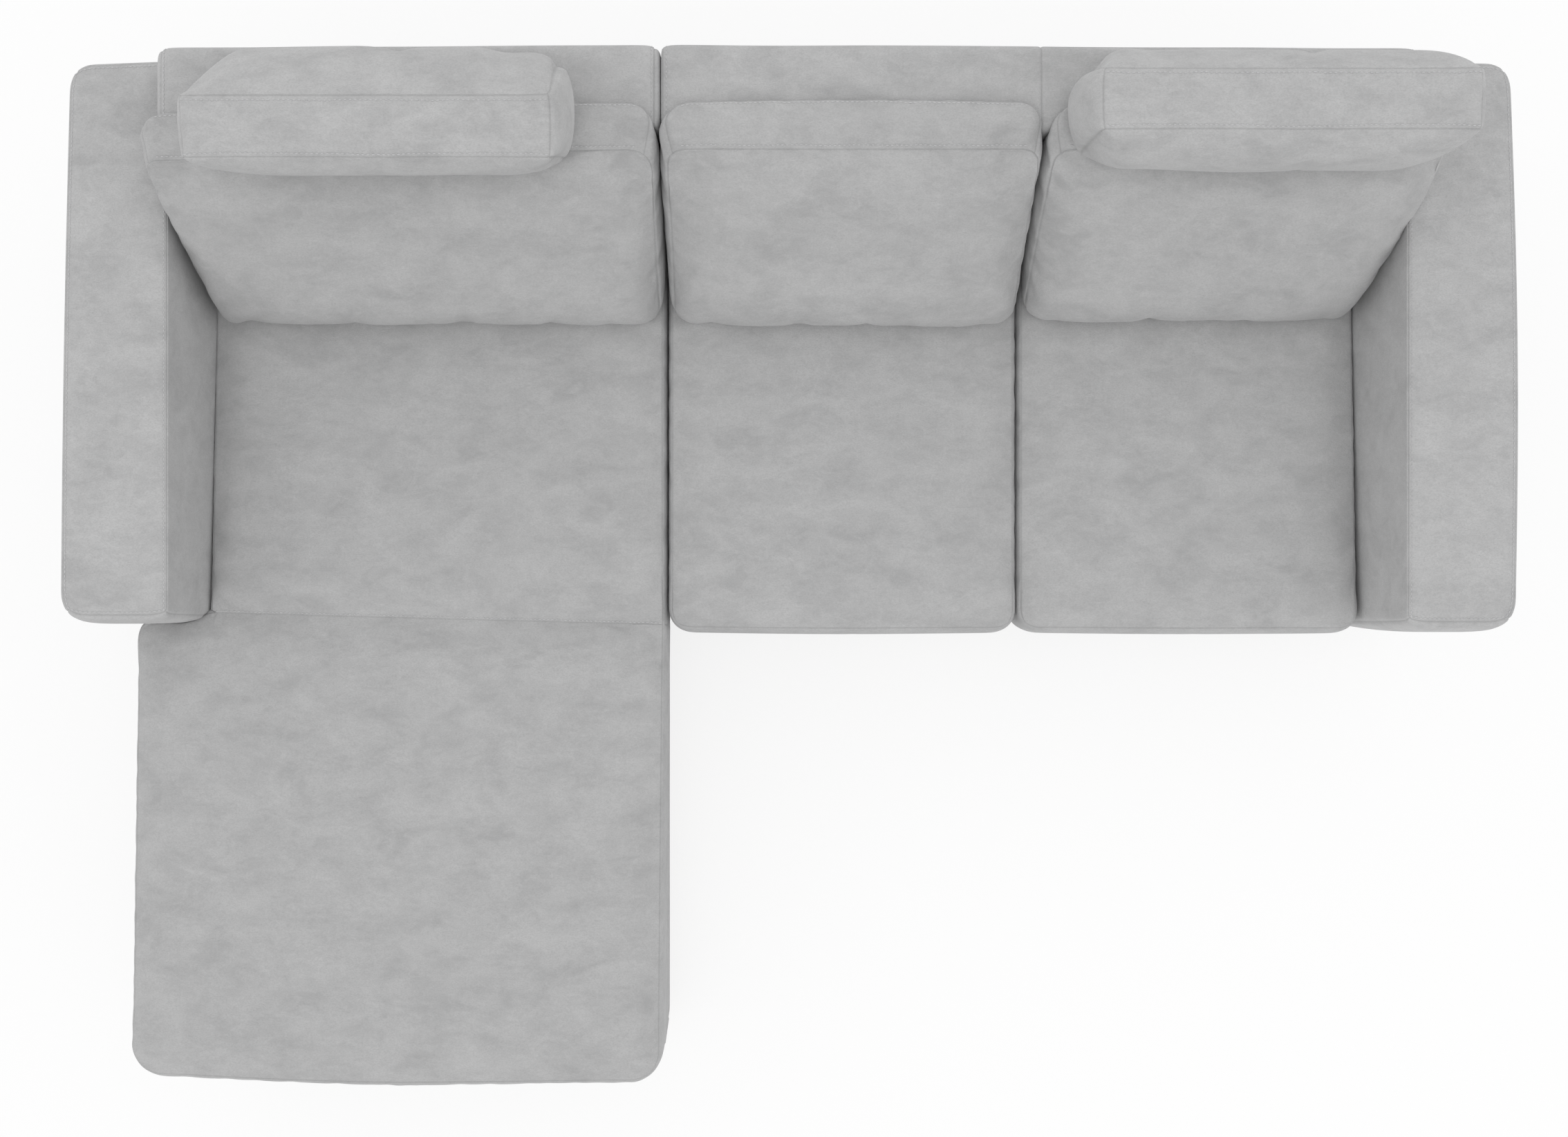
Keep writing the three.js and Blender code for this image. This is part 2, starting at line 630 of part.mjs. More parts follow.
const stripTop = footHeight;
const stripBottom = stripTop - connectorThickness;
const lipLeft = (chaiseBase.right + seatBase.left) / 2;
const lipRight = lipLeft + connectorThickness;
const lipTop = stripTop + lipHeight;
const hookRight = seatBase.left - gap;
const hookTop = lipTop + connectorThickness + 2 * gap;
const hookTipRight = lipLeft - connectorThickness / 2;
const hookTipLeft = hookTipRight - connectorThickness;
const chaisePlateLeft = chaiseRails.right - connectorPlate;
const seatPlateRight = seatRails.left + connectorPlate;
const lipStrip = [
  [chaisePlateLeft, stripBottom], [lipRight, stripBottom], [lipRight, lipTop], [lipLeft, lipTop],
  [lipLeft, stripTop], [chaisePlateLeft, stripTop],
];
const hookStrip = [
  [seatPlateRight, stripTop], [hookRight, stripTop], [hookRight, hookTop], [hookTipLeft, hookTop],
  [hookTipLeft, stripTop + connectorThickness], [hookTipRight, stripTop + connectorThickness],
  [hookTipRight, hookTop - connectorThickness],
  [hookRight - connectorThickness, hookTop - connectorThickness],
  [hookRight - connectorThickness, stripBottom], [seatPlateRight, stripBottom],
];
[["front", seatBase.front + connectorFrontInset], ["rear", seatBase.rear - connectorRearInset]].forEach(
  ([place, y]) => {
    addPiece(chaiseUnit, place + "_connector_lip", bentStrip(lipStrip, y), steelMaterial());
    addPiece(seatUnit, place + "_connector_hook", bentStrip([...hookStrip].reverse(), y), steelMaterial());
  },
);

// Seat cushions. The arms swell towards the back and press the outer seats in, so those narrow to the rear.
const seatEdge = 26;
const seatCornerRadius = 42;
const seatRearRadius = 24;
const seatCrown = 20;
const seatDrawIn = -4;
const frontSwell = 7;
const armToCushion = 4;
const crossSeamPlace = 6; // the chaise's cross seam lies this far behind the left arm's front
const crossSeamOverlap = 20;
const seatRear = backFront - gap;

// How far an outer seat cushion keeps from its arm's inner side, at a place along the arm.
function squeezeAt(y, armFront) {
  const along = (y - armFront) / (backCushionFront - armFront);
  return armToCushion + THREE.MathUtils.lerp(armFlareFront, armFlareRear, Math.max(along, 0));
}

function seatCushion({ frontLeft, frontRight, rearLeft, rearRight, front, rear }) {
  return paddedBlock({
    corners: [
      { x: frontLeft, y: front, radius: seatCornerRadius, bulge: frontSwell, sideSteps: 6 },
      { x: frontRight, y: front, radius: seatCornerRadius, bulge: seatDrawIn, sideSteps: 6 },
      { x: rearRight, y: rear, radius: seatRearRadius, bulge: 0, sideSteps: 6 },
      { x: rearLeft, y: rear, radius: seatRearRadius, bulge: seatDrawIn, sideSteps: 6 },
    ],
    bottom: seatBottom, top: seatSeamHeight, edge: seatEdge, crown: seatCrown,
  });
}

// The chaise's cushion runs on past the arm's front and widens there. A cross seam draws its top in.
const crossSeam = leftArmFront + crossSeamPlace;
const padFoot = seatCushion({
  frontLeft: wingLeft, frontRight: chaiseRight, rearLeft: wingLeft, rearRight: chaiseRight,
  front: chaiseFront + frontSwell, rear: crossSeam + crossSeamOverlap / 2,
});
const padSeatFront = crossSeam - crossSeamOverlap / 2;
const padSeatLeft = leftArmInner + squeezeAt(leftArmFront, leftArmFront);
const padSeat = seatCushion({
  frontLeft: padSeatLeft, frontRight: chaiseRight, rearLeft: leftArmInner + squeezeAt(seatRear, leftArmFront),
  rearRight: chaiseRight, front: padSeatFront + frontSwell, rear: seatRear,
});
const armNotch = boxSolid(wingLeft - overrun, padSeatLeft, wingRear, seatRear, seatBottom - overrun,
  seatSeamHeight + seatCrown + overrun);
const chaiseCushion = padFoot.subtract(armNotch).add(padSeat);
const middleCushion = seatCushion({
  frontLeft: seatUnitLeft, frontRight: middleSeatRight, rearLeft: seatUnitLeft, rearRight: middleSeatRight,
  front: seatFront + frontSwell, rear: seatRear,
});
const rightCushion = seatCushion({
  frontLeft: rightSeatLeft, frontRight: rightArmInner - squeezeAt(rightArmFront, rightArmFront),
  rearLeft: rightSeatLeft, rearRight: rightArmInner - squeezeAt(seatRear, rightArmFront),
  front: seatFront + frontSwell, rear: seatRear,
});
addPiece(looseCushions, "chaise_seat_cushion", chaiseCushion, fabricMaterial());
addPiece(looseCushions, "middle_seat_cushion", middleCushion, fabricMaterial());
addPiece(looseCushions, "right_seat_cushion", rightCushion, fabricMaterial());

// Back cushions: deep wedges with a boxing strip round them. They stand on the seats, lean on the backs and
// lap a little over their tops, and what they rest on presses its shape into them.
const backCushionEdge = 20;
const backCushionCorner = 36;
const backCushionCrown = 34;
const backCushionRearCrown = 6;
const backCushionDrawIn = -8;
const backCushionThickness = 100; // of the unit form, which the wedge then spreads
const cushionSink = 14; // how far the form starts below the seat's crown before the seat shapes it
const footSpread = 6; // the form starts this far in front, because its lower edge is rounded away
const footClearance = 4;
const headSetBack = 39; // how far the top front seam lies in front of the back
const headLap = 45; // and the top rear seam behind the back's front, lapped over its top
const headRise = 26;
const wedgeFoot = { frontY: backCushionFront - footSpread, rearY: backFront - footClearance };
const wedgeHead = {
  frontY: backFront - headSetBack, frontZ: backHeight,
  rearY: backFront + headLap, rearZ: backHeight + headRise,
};
const wedgeBottom = seatSeamHeight + seatCrown - cushionSink;
const wedgeRun = Math.hypot(wedgeHead.frontY - wedgeFoot.frontY, wedgeHead.frontZ - wedgeBottom);
const wedgeOut = {
  y: -(wedgeHead.frontZ - wedgeBottom) / wedgeRun,
  z: (wedgeHead.frontY - wedgeFoot.frontY) / wedgeRun,
};

function wedgePlace(p) {
  const up = p.y / wedgeRun;
  const through = THREE.MathUtils.clamp(p.z / backCushionThickness, 0, 1);
  const proud = p.z - through * backCushionThickness;
  const outY = proud > 0 ? wedgeOut.y : -1;
  const outZ = proud > 0 ? wedgeOut.z : 0;
  const frontY = THREE.MathUtils.lerp(wedgeFoot.frontY, wedgeHead.frontY, up);
  const frontZ = THREE.MathUtils.lerp(wedgeBottom, wedgeHead.frontZ, up);
  const rearY = THREE.MathUtils.lerp(wedgeFoot.rearY, wedgeHead.rearY, up);
  const rearZ = THREE.MathUtils.lerp(wedgeBottom, wedgeHead.rearZ, up);
  return new THREE.Vector3(
    p.x,
    THREE.MathUtils.lerp(rearY, frontY, through) + proud * outY,
    THREE.MathUtils.lerp(rearZ, frontZ, through) + proud * outZ,
  );
}

function pressedBy(cushion, supports) {
  return supports.reduce((rest, support) => rest.subtract(support), cushion);
}

function backCushion({ bottomLeft, bottomRight, topLeft, topRight }, seat, backCover) {
  const form = paddedBlock({
    corners: [
      { x: bottomLeft, y: 0, radius: backCushionCorner, bulge: 0, sideSteps: 6 },
      { x: bottomRight, y: 0, radius: backCushionCorner, bulge: backCushionDrawIn, sideSteps: 4 },
      { x: topRight, y: wedgeRun, radius: backCushionCorner, bulge: 0, sideSteps: 6 },
      { x: topLeft, y: wedgeRun, radius: backCushionCorner, bulge: backCushionDrawIn, sideSteps: 4 },
    ],
    bottom: 0, top: backCushionThickness, edge: backCushionEdge, crown: backCushionCrown,
    crownBelow: backCushionRearCrown, place: wedgePlace,
  });
  return pressedBy(form, [
    seat.translate(0, 0, gap),
    backCover.translate(0, -gap, 0),
    backCover.translate(0, 0, gap),
  ]);
}

const cushionToCushion = 3;
const leftBackFoot = leftArmInner + squeezeAt(backCushionFront, leftArmFront) + cushionToCushion;
const rightBackFoot = rightArmInner - squeezeAt(backCushionFront, rightArmFront) - cushionToCushion;
const leftBackCushion = backCushion({
  bottomLeft: leftBackFoot, bottomRight: chaiseRight,
  topLeft: leftArmInner + armToCushion, topRight: chaiseRight,
}, chaiseCushion, chaiseBackCover);
const middleBackCushion = backCushion({
  bottomLeft: seatUnitLeft + cushionToCushion, bottomRight: middleSeatRight,
  topLeft: seatUnitLeft + cushionToCushion, topRight: middleSeatRight,
}, middleCushion, seatBackCover);
const rightBackCushion = backCushion({
  bottomLeft: rightSeatLeft, bottomRight: rightBackFoot,
  topLeft: rightSeatLeft, topRight: rightArmInner,
}, rightCushion, seatBackCover);
addPiece(looseCushions, "left_back_cushion", leftBackCushion, fabricMaterial());
addPiece(looseCushions, "middle_back_cushion", middleBackCushion, fabricMaterial());
addPiece(looseCushions, "right_back_cushion", rightBackCushion, fabricMaterial());

// Head cushions: boxed pillows that stand on edge on a back cushion and the back behind it.
const headFootLift = 4; // a head cushion's lower edge stands this far above the back
const headSeamHeight = backHeight + headFootLift + headHeight;
const headBoxing = 98;
const headEdge = 16;
const headCorner = 40;
const headFrontCrown = 34;
const headRearCrown = 66;
const headEndSwell = 6;

function headCushion({ left, right, bandY, lean }, backCushionUnder, backCover) {
  const leanAngle = THREE.MathUtils.degToRad(lean);
  const up = new THREE.Vector3(0, -Math.sin(leanAngle), Math.cos(leanAngle));
  const forward = new THREE.Vector3(0, -Math.cos(leanAngle), -Math.sin(leanAngle));
  const topMiddle = new THREE.Vector3(0, bandY, headSeamHeight);
  const form = paddedBlock({
    corners: rectangle({
      left: left + headEndSwell, right: right - headEndSwell, front: -headHeight, rear: 0, radius: headCorner,
      bulges: [0, headEndSwell, headEndSwell, headEndSwell], steps: [6, 2, 6, 2],
    }),
    bottom: -headBoxing / 2, top: headBoxing / 2, edge: headEdge, crown: headFrontCrown,
    crownBelow: headRearCrown,
    place: (p) => topMiddle.clone().addScaledVector(up, p.y).addScaledVector(forward, p.z).setX(p.x),
  });
  return pressedBy(form, [
    backCushionUnder.translate(0, 0, gap),
    backCushionUnder.translate(0, gap, gap),
    backCover.translate(0, 0, gap),
  ]);
}

// The left one leans forward on its cushion, and the right one stands nearly upright and further back.
const leftHead = { length: 652, toGap: 127, beforeBack: 46, leanDegrees: 12 };
const rightHead = { length: 674, toGap: 17.5, beforeBack: 3, leanDegrees: 2 };
const leftHeadCushion = headCushion({
  left: chaiseRight - leftHead.toGap - leftHead.length, right: chaiseRight - leftHead.toGap,
  bandY: backFront - leftHead.beforeBack, lean: leftHead.leanDegrees,
}, leftBackCushion, chaiseBackCover);
const rightHeadCushion = headCushion({
  left: rightSeatLeft + rightHead.toGap, right: rightSeatLeft + rightHead.toGap + rightHead.length,
  bandY: backFront - rightHead.beforeBack, lean: rightHead.leanDegrees,
}, rightBackCushion, seatBackCover);
addPiece(looseCushions, "left_head_cushion", leftHeadCushion, fabricMaterial());
addPiece(looseCushions, "right_head_cushion", rightHeadCushion, fabricMaterial());

export default sofa;
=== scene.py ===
import json
import math

import bpy
import numpy as np
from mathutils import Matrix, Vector, noise
from mathutils.bvhtree import BVHTree


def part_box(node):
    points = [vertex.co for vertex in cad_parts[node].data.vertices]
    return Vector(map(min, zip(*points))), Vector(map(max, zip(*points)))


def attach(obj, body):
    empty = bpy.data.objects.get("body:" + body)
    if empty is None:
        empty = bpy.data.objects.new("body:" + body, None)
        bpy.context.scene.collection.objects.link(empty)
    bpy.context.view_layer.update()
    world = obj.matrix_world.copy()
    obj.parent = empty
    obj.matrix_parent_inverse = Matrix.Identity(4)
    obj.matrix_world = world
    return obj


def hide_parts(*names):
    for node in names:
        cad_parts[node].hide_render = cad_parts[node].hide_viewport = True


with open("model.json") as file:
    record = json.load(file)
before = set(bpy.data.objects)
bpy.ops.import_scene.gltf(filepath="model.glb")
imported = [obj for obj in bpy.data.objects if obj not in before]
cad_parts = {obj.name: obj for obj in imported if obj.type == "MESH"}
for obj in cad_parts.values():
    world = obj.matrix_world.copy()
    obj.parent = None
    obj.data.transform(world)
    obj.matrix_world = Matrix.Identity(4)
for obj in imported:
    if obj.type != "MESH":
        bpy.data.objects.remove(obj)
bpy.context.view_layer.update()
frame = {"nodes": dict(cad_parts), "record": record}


# Feet. Nine moulded plastic feet carry the base, each a tapered cup with a flange that is screwed up into the
# rails. The plastic is black with a fine spark-eroded grain.
def plain_material(name, roughness, metallic=0.0):
    made = bpy.data.materials.new(name)
    made.use_nodes = True
    shader = made.node_tree.nodes["Principled BSDF"]
    shader.inputs["Roughness"].default_value = roughness
    shader.inputs["Metallic"].default_value = metallic
    return made, made.node_tree, shader


def object_coordinates(tree, stretch=(1.0, 1.0, 1.0)):
    place = tree.nodes.new("ShaderNodeTexCoord")
    mapping = tree.nodes.new("ShaderNodeMapping")
    mapping.inputs["Scale"].default_value = stretch
    tree.links.new(place.outputs["Object"], mapping.inputs["Vector"])
    return mapping.outputs["Vector"]


def noise_field(tree, coordinates, scale, detail=3.0, roughness=0.5, distortion=0.0):
    field = tree.nodes.new("ShaderNodeTexNoise")
    field.inputs["Scale"].default_value = scale
    field.inputs["Detail"].default_value = detail
    field.inputs["Roughness"].default_value = roughness
    field.inputs["Distortion"].default_value = distortion
    tree.links.new(coordinates, field.inputs["Vector"])
    return field.outputs["Fac"]


def between(tree, value, low, high, from_low=0.3, from_high=0.7):
    spread = tree.nodes.new("ShaderNodeMapRange")
    for name, number in (("From Min", from_low), ("From Max", from_high), ("To Min", low), ("To Max", high)):
        spread.inputs[name].default_value = number
    tree.links.new(value, spread.inputs["Value"])
    return spread.outputs["Result"]


def mixed_colour(tree, factor, first, second):
    mix = tree.nodes.new("ShaderNodeMix")
    mix.data_type = "RGBA"
    colours = [socket for socket in mix.inputs if socket.type == "RGBA"]
    for socket, colour in zip(colours, (first, second)):
        if isinstance(colour, bpy.types.NodeSocket):
            tree.links.new(colour, socket)
        else:
            socket.default_value = (*colour, 1.0)
    tree.links.new(factor, mix.inputs["Factor"])
    return next(socket for socket in mix.outputs if socket.type == "RGBA")


def relief(tree, shader, layers):
    """Stacks bumps, each from its height, its depth in metres and its strength."""
    normal = None
    for height, depth, strength in layers:
        bump = tree.nodes.new("ShaderNodeBump")
        bump.inputs["Distance"].default_value = depth
        bump.inputs["Strength"].default_value = strength
        tree.links.new(height, bump.inputs["Height"])
        if normal is not None:
            tree.links.new(normal, bump.inputs["Normal"])
        normal = bump.outputs["Normal"]
    tree.links.new(normal, shader.inputs["Normal"])


def paint(tree, shader, colour, roughness=None):
    tree.links.new(colour, shader.inputs["Base Color"])
    if roughness is not None:
        tree.links.new(roughness, shader.inputs["Roughness"])


def dress(nodes, finish):
    for name in nodes:
        node = frame["nodes"][name]
        node.data.materials.clear()
        node.data.materials.append(finish)


def nodes_with_slot(slot):
    return [part["node"] for part in frame["record"]["subparts"] if part["material_slot"] == slot]


foot_black = (0.012, 0.012, 0.013)
foot_worn = (0.03, 0.03, 0.032)
foot_plastic, tree, shader = plain_material("foot_plastic", 0.5)
coordinates = object_coordinates(tree)
scuffs = noise_field(tree, coordinates, 60.0, detail=6.0)
worn = between(tree, scuffs, 0.0, 1.0, 0.5, 0.75)
paint(tree, shader, mixed_colour(tree, worn, foot_black, foot_worn), between(tree, scuffs, 0.42, 0.6))
relief(tree, shader, [(noise_field(tree, coordinates, 2500.0), 0.0002, 0.5)])
dress(nodes_with_slot("foot_plastic"), foot_plastic)


# Base rails and the frames of the arms and backs. They are sawn softwood boards, glued and stapled into a box
# under the seats and into ladders inside the padded arms and backs.
wood_early = (0.62, 0.42, 0.22)
wood_late = (0.45, 0.27, 0.12)
wood_pore = (0.3, 0.17, 0.08)


def softwood(name, stretch):
    timber, tree, shader = plain_material(name, 0.7)
    coordinates = object_coordinates(tree, stretch)
    rings = tree.nodes.new("ShaderNodeTexWave")
    rings.wave_type = "RINGS"
    rings.rings_direction = "SPHERICAL"
    rings.inputs["Scale"].default_value = 14.0
    rings.inputs["Distortion"].default_value = 5.0
    rings.inputs["Detail"].default_value = 3.0
    tree.links.new(coordinates, rings.inputs["Vector"])
    pores = noise_field(tree, coordinates, 260.0, detail=4.0)
    grain = mixed_colour(tree, rings.outputs["Fac"], wood_early, wood_late)
    specks = mixed_colour(tree, between(tree, pores, 0.0, 0.35), grain, wood_pore)
    paint(tree, shader, specks, between(tree, pores, 0.62, 0.8))
    relief(tree, shader, [(pores, 0.0004, 0.5), (rings.outputs["Fac"], 0.0003, 0.3)])
    return timber


timber_along_x = softwood("timber_along_x", (0.12, 1.0, 1.0))
timber_along_y = softwood("timber_along_y", (1.0, 0.12, 1.0))
for name in nodes_with_slot("timber"):
    low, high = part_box(name)
    dress([name], timber_along_x if high.x - low.x > high.y - low.y else timber_along_y)


# Arm bolts and module connectors. They are zinc plated steel: hexagon bolts through the side rails into the
# arm frames, and a bent lip and hook under the two rails that meet, which lock the modules together.
zinc_dark = (0.42, 0.43, 0.45)
zinc_light = (0.6, 0.61, 0.62)
zinc, tree, shader = plain_material("zinc_plated_steel", 0.38, metallic=1.0)
spangle = noise_field(tree, object_coordinates(tree), 180.0, detail=5.0)
spangled = mixed_colour(tree, between(tree, spangle, 0.0, 1.0), zinc_dark, zinc_light)
paint(tree, shader, spangled, between(tree, spangle, 0.3, 0.5))
relief(tree, shader, [(noise_field(tree, object_coordinates(tree, (1.0, 0.05, 1.0)), 900.0), 0.0002, 0.3)])
dress(nodes_with_slot("steel"), zinc)


# Seat webbing. Belts of woven polypropylene are stretched over the rails both ways and stapled down, and they
# carry the deck and the seat cushions.
belt_dark = (0.22, 0.19, 0.15)
belt_light = (0.31, 0.28, 0.23)
belt_hollow = (0.16, 0.14, 0.11)
webbing, tree, shader = plain_material("woven_webbing", 0.85)
coordinates = object_coordinates(tree)
ribs = {}
for direction in ("X", "Y"):
    wave = tree.nodes.new("ShaderNodeTexWave")
    wave.wave_type = "BANDS"
    wave.bands_direction = direction
    wave.inputs["Scale"].default_value = 90.0
    tree.links.new(coordinates, wave.inputs["Vector"])
    ribs[direction] = wave.outputs["Fac"]
weave = mixed_colour(tree, ribs["X"], belt_dark, belt_light)
paint(tree, shader, mixed_colour(tree, between(tree, ribs["Y"], 0.0, 0.5, 0.0, 1.0), weave, belt_hollow))
relief(tree, shader, [(ribs["X"], 0.0006, 0.6), (ribs["Y"], 0.0006, 0.6)])
dress(nodes_with_slot("webbing"), webbing)


# Decks and dust covers. A pad of black felt and cloth lies over the webbing under the cushions, and a thin
# non-woven lining is stapled under the rails to close the base.
lining_black = (0.016, 0.016, 0.017)
lining_grey = (0.045, 0.045, 0.048)
lining, tree, shader = plain_material("black_lining", 0.95)
fibres = noise_field(tree, object_coordinates(tree), 700.0, detail=6.0, roughness=0.7, distortion=1.5)
paint(tree, shader, mixed_colour(tree, between(tree, fibres, 0.0, 1.0), lining_black, lining_grey))
relief(tree, shader, [(fibres, 0.0005, 0.6)])
dress(nodes_with_slot("lining"), lining)


# Upholstered borders of the base. Strips of grey brushed fabric over thin wadding are pulled round the open
# faces of the base, below the cushions that overhang them, and stapled underneath.
fabric_dark = (0.412, 0.412, 0.414)
fabric_light = (0.508, 0.508, 0.509)
fabric_mottle = (0.33, 0.33, 0.33)
fabric_nap = (0.29, 0.29, 0.29)
# Painted shade for the groove of a seam and along a row of stitches.
painted_seam_shade = (0.17, 0.17, 0.17)


def brushed_fabric(name, painted_light_level, drift):
    """Suede-like microfibre: cloudy where the nap lies another way, fine-grained, with painted shade
    darkening a seam and a row of stitches, and the whole piece lighter or darker as painted light.
    """
    cloth, tree, shader = plain_material(name, 0.88)
    coordinates = object_coordinates(tree, (0.7, 1.15, 1.0))
    drifted = tree.nodes.new("ShaderNodeVectorMath")
    drifted.inputs[1].default_value = (drift, drift * 0.7, drift * 1.3)
    tree.links.new(coordinates, drifted.inputs[0])
    across = drifted.outputs["Vector"]
    clouds = noise_field(tree, across, 14.0, detail=6.0, roughness=0.6, distortion=0.5)
    patches = noise_field(tree, across, 38.0, detail=4.0, roughness=0.62, distortion=0.8)
    mottle = noise_field(tree, across, 120.0, detail=3.0, roughness=0.6)
    nap = noise_field(tree, across, 400.0, detail=4.0, roughness=0.75)
    fluff = noise_field(tree, across, 1500.0, detail=2.0)
    # Painted light: each piece's level scales its colours, lighter for the arms, heads and backs that stand
    # high in the light, darker for the borders under the cushions.
    dark = tuple(painted_light_level * part for part in fabric_dark)
    light = tuple(painted_light_level * part for part in fabric_light)
    cloudy = mixed_colour(tree, between(tree, clouds, 0.0, 1.0, 0.34, 0.66), dark, light)
    patched = mixed_colour(tree, between(tree, patches, 0.0, 0.7, 0.42, 0.72), cloudy, light)
    mottled = mixed_colour(tree, between(tree, mottle, 0.0, 0.16, 0.4, 0.68), patched, fabric_mottle)
    grained = mixed_colour(tree, between(tree, nap, 0.0, 0.42, 0.42, 0.72), mottled, fabric_nap)
    seam = tree.nodes.new("ShaderNodeAttribute")
    seam.attribute_name = "seam"
    # Painted shade: the seam attribute darkens the fabric in a seam and along a row of stitches.
    sunk = between(tree, seam.outputs["Fac"], 0.0, 0.3, 0.35, 1.0)
    paint(tree, shader, mixed_colour(tree, sunk, grained, painted_seam_shade), between(tree, nap, 0.8, 0.95))
    shader.inputs["Sheen Weight"].default_value = 0.18
    shader.inputs["Sheen Roughness"].default_value = 0.45
    shader.inputs["Specular IOR Level"].default_value = 0.25
    relief(tree, shader, [(patches, 0.0016, 0.4), (nap, 0.0009, 0.6), (fluff, 0.0004, 0.5)])
    return cloth


seam_steps = (0.0025, 0.006, 0.012)  # extra rows of the mesh on each side of a seam
seam_groove = 0.0026  # how deep a seam sinks in
stitch_step = 2  # the row beside a seam that a line of top stitching follows
stitch_sink = 0.0008  # how deep that row sinks in
stitch_shade = 0.6  # how dark that row's painted shade is, beside 1 for a seam's


def clamped(value):
    return min(max(value, 0.0), 1.0)


def blend(low, high, share):
    return low + (high - low) * share


def mesh_lines(start, end, pitch, seams=()):
    """Places of the mesh's rows from start to end, which close up beside the ends and beside each seam."""
    fixed = {round(start, 5), round(end, 5)}
    for seam in (start, end, *seams):
        for step in (0.0, *seam_steps):
            fixed.update(round(at, 5) for at in (seam - step, seam + step) if start < at < end)
    fixed = sorted(fixed)
    places = []
    for low, high in zip(fixed, fixed[1:]):
        count = max(1, math.ceil((high - low) / pitch - 0.01))
        places += [low + (high - low) * i / count for i in range(count)]
    return [*places, fixed[-1]]


def square_corners(xs, ys, radii):
    """The corners of a panel, with radii for its left front, right front, left rear and right rear. None
    leaves a corner out. A corner is its tip's x and y, the way out to it along both, and its radius."""
    ends = ((0, 0), (-1, 0), (0, -1), (-1, -1))
    return [
        (xs[i], ys[j], 1 if i else -1, 1 if j else -1, radius)
        for (i, j), radius in zip(ends, radii) if radius is not None
    ]


def rounded(x, y, corners):
    """Moves a point of a square corner onto a round one."""
    for tip_x, tip_y, toward_x, toward_y, radius in corners:
        centre_x = tip_x - toward_x * radius
        centre_y = tip_y - toward_y * radius
        a = (x - centre_x) * toward_x / radius
        b = (y - centre_y) * toward_y / radius
        if a > 0 and b > 0:
            x = centre_x + toward_x * radius * a * math.sqrt(1 - min(b, 1.0) ** 2 / 2)
            y = centre_y + toward_y * radius * b * math.sqrt(1 - min(a, 1.0) ** 2 / 2)
    return x, y


def add_object(name, data):
    made = bpy.data.objects.new(name, data)
    bpy.context.scene.collection.objects.link(made)
    return made


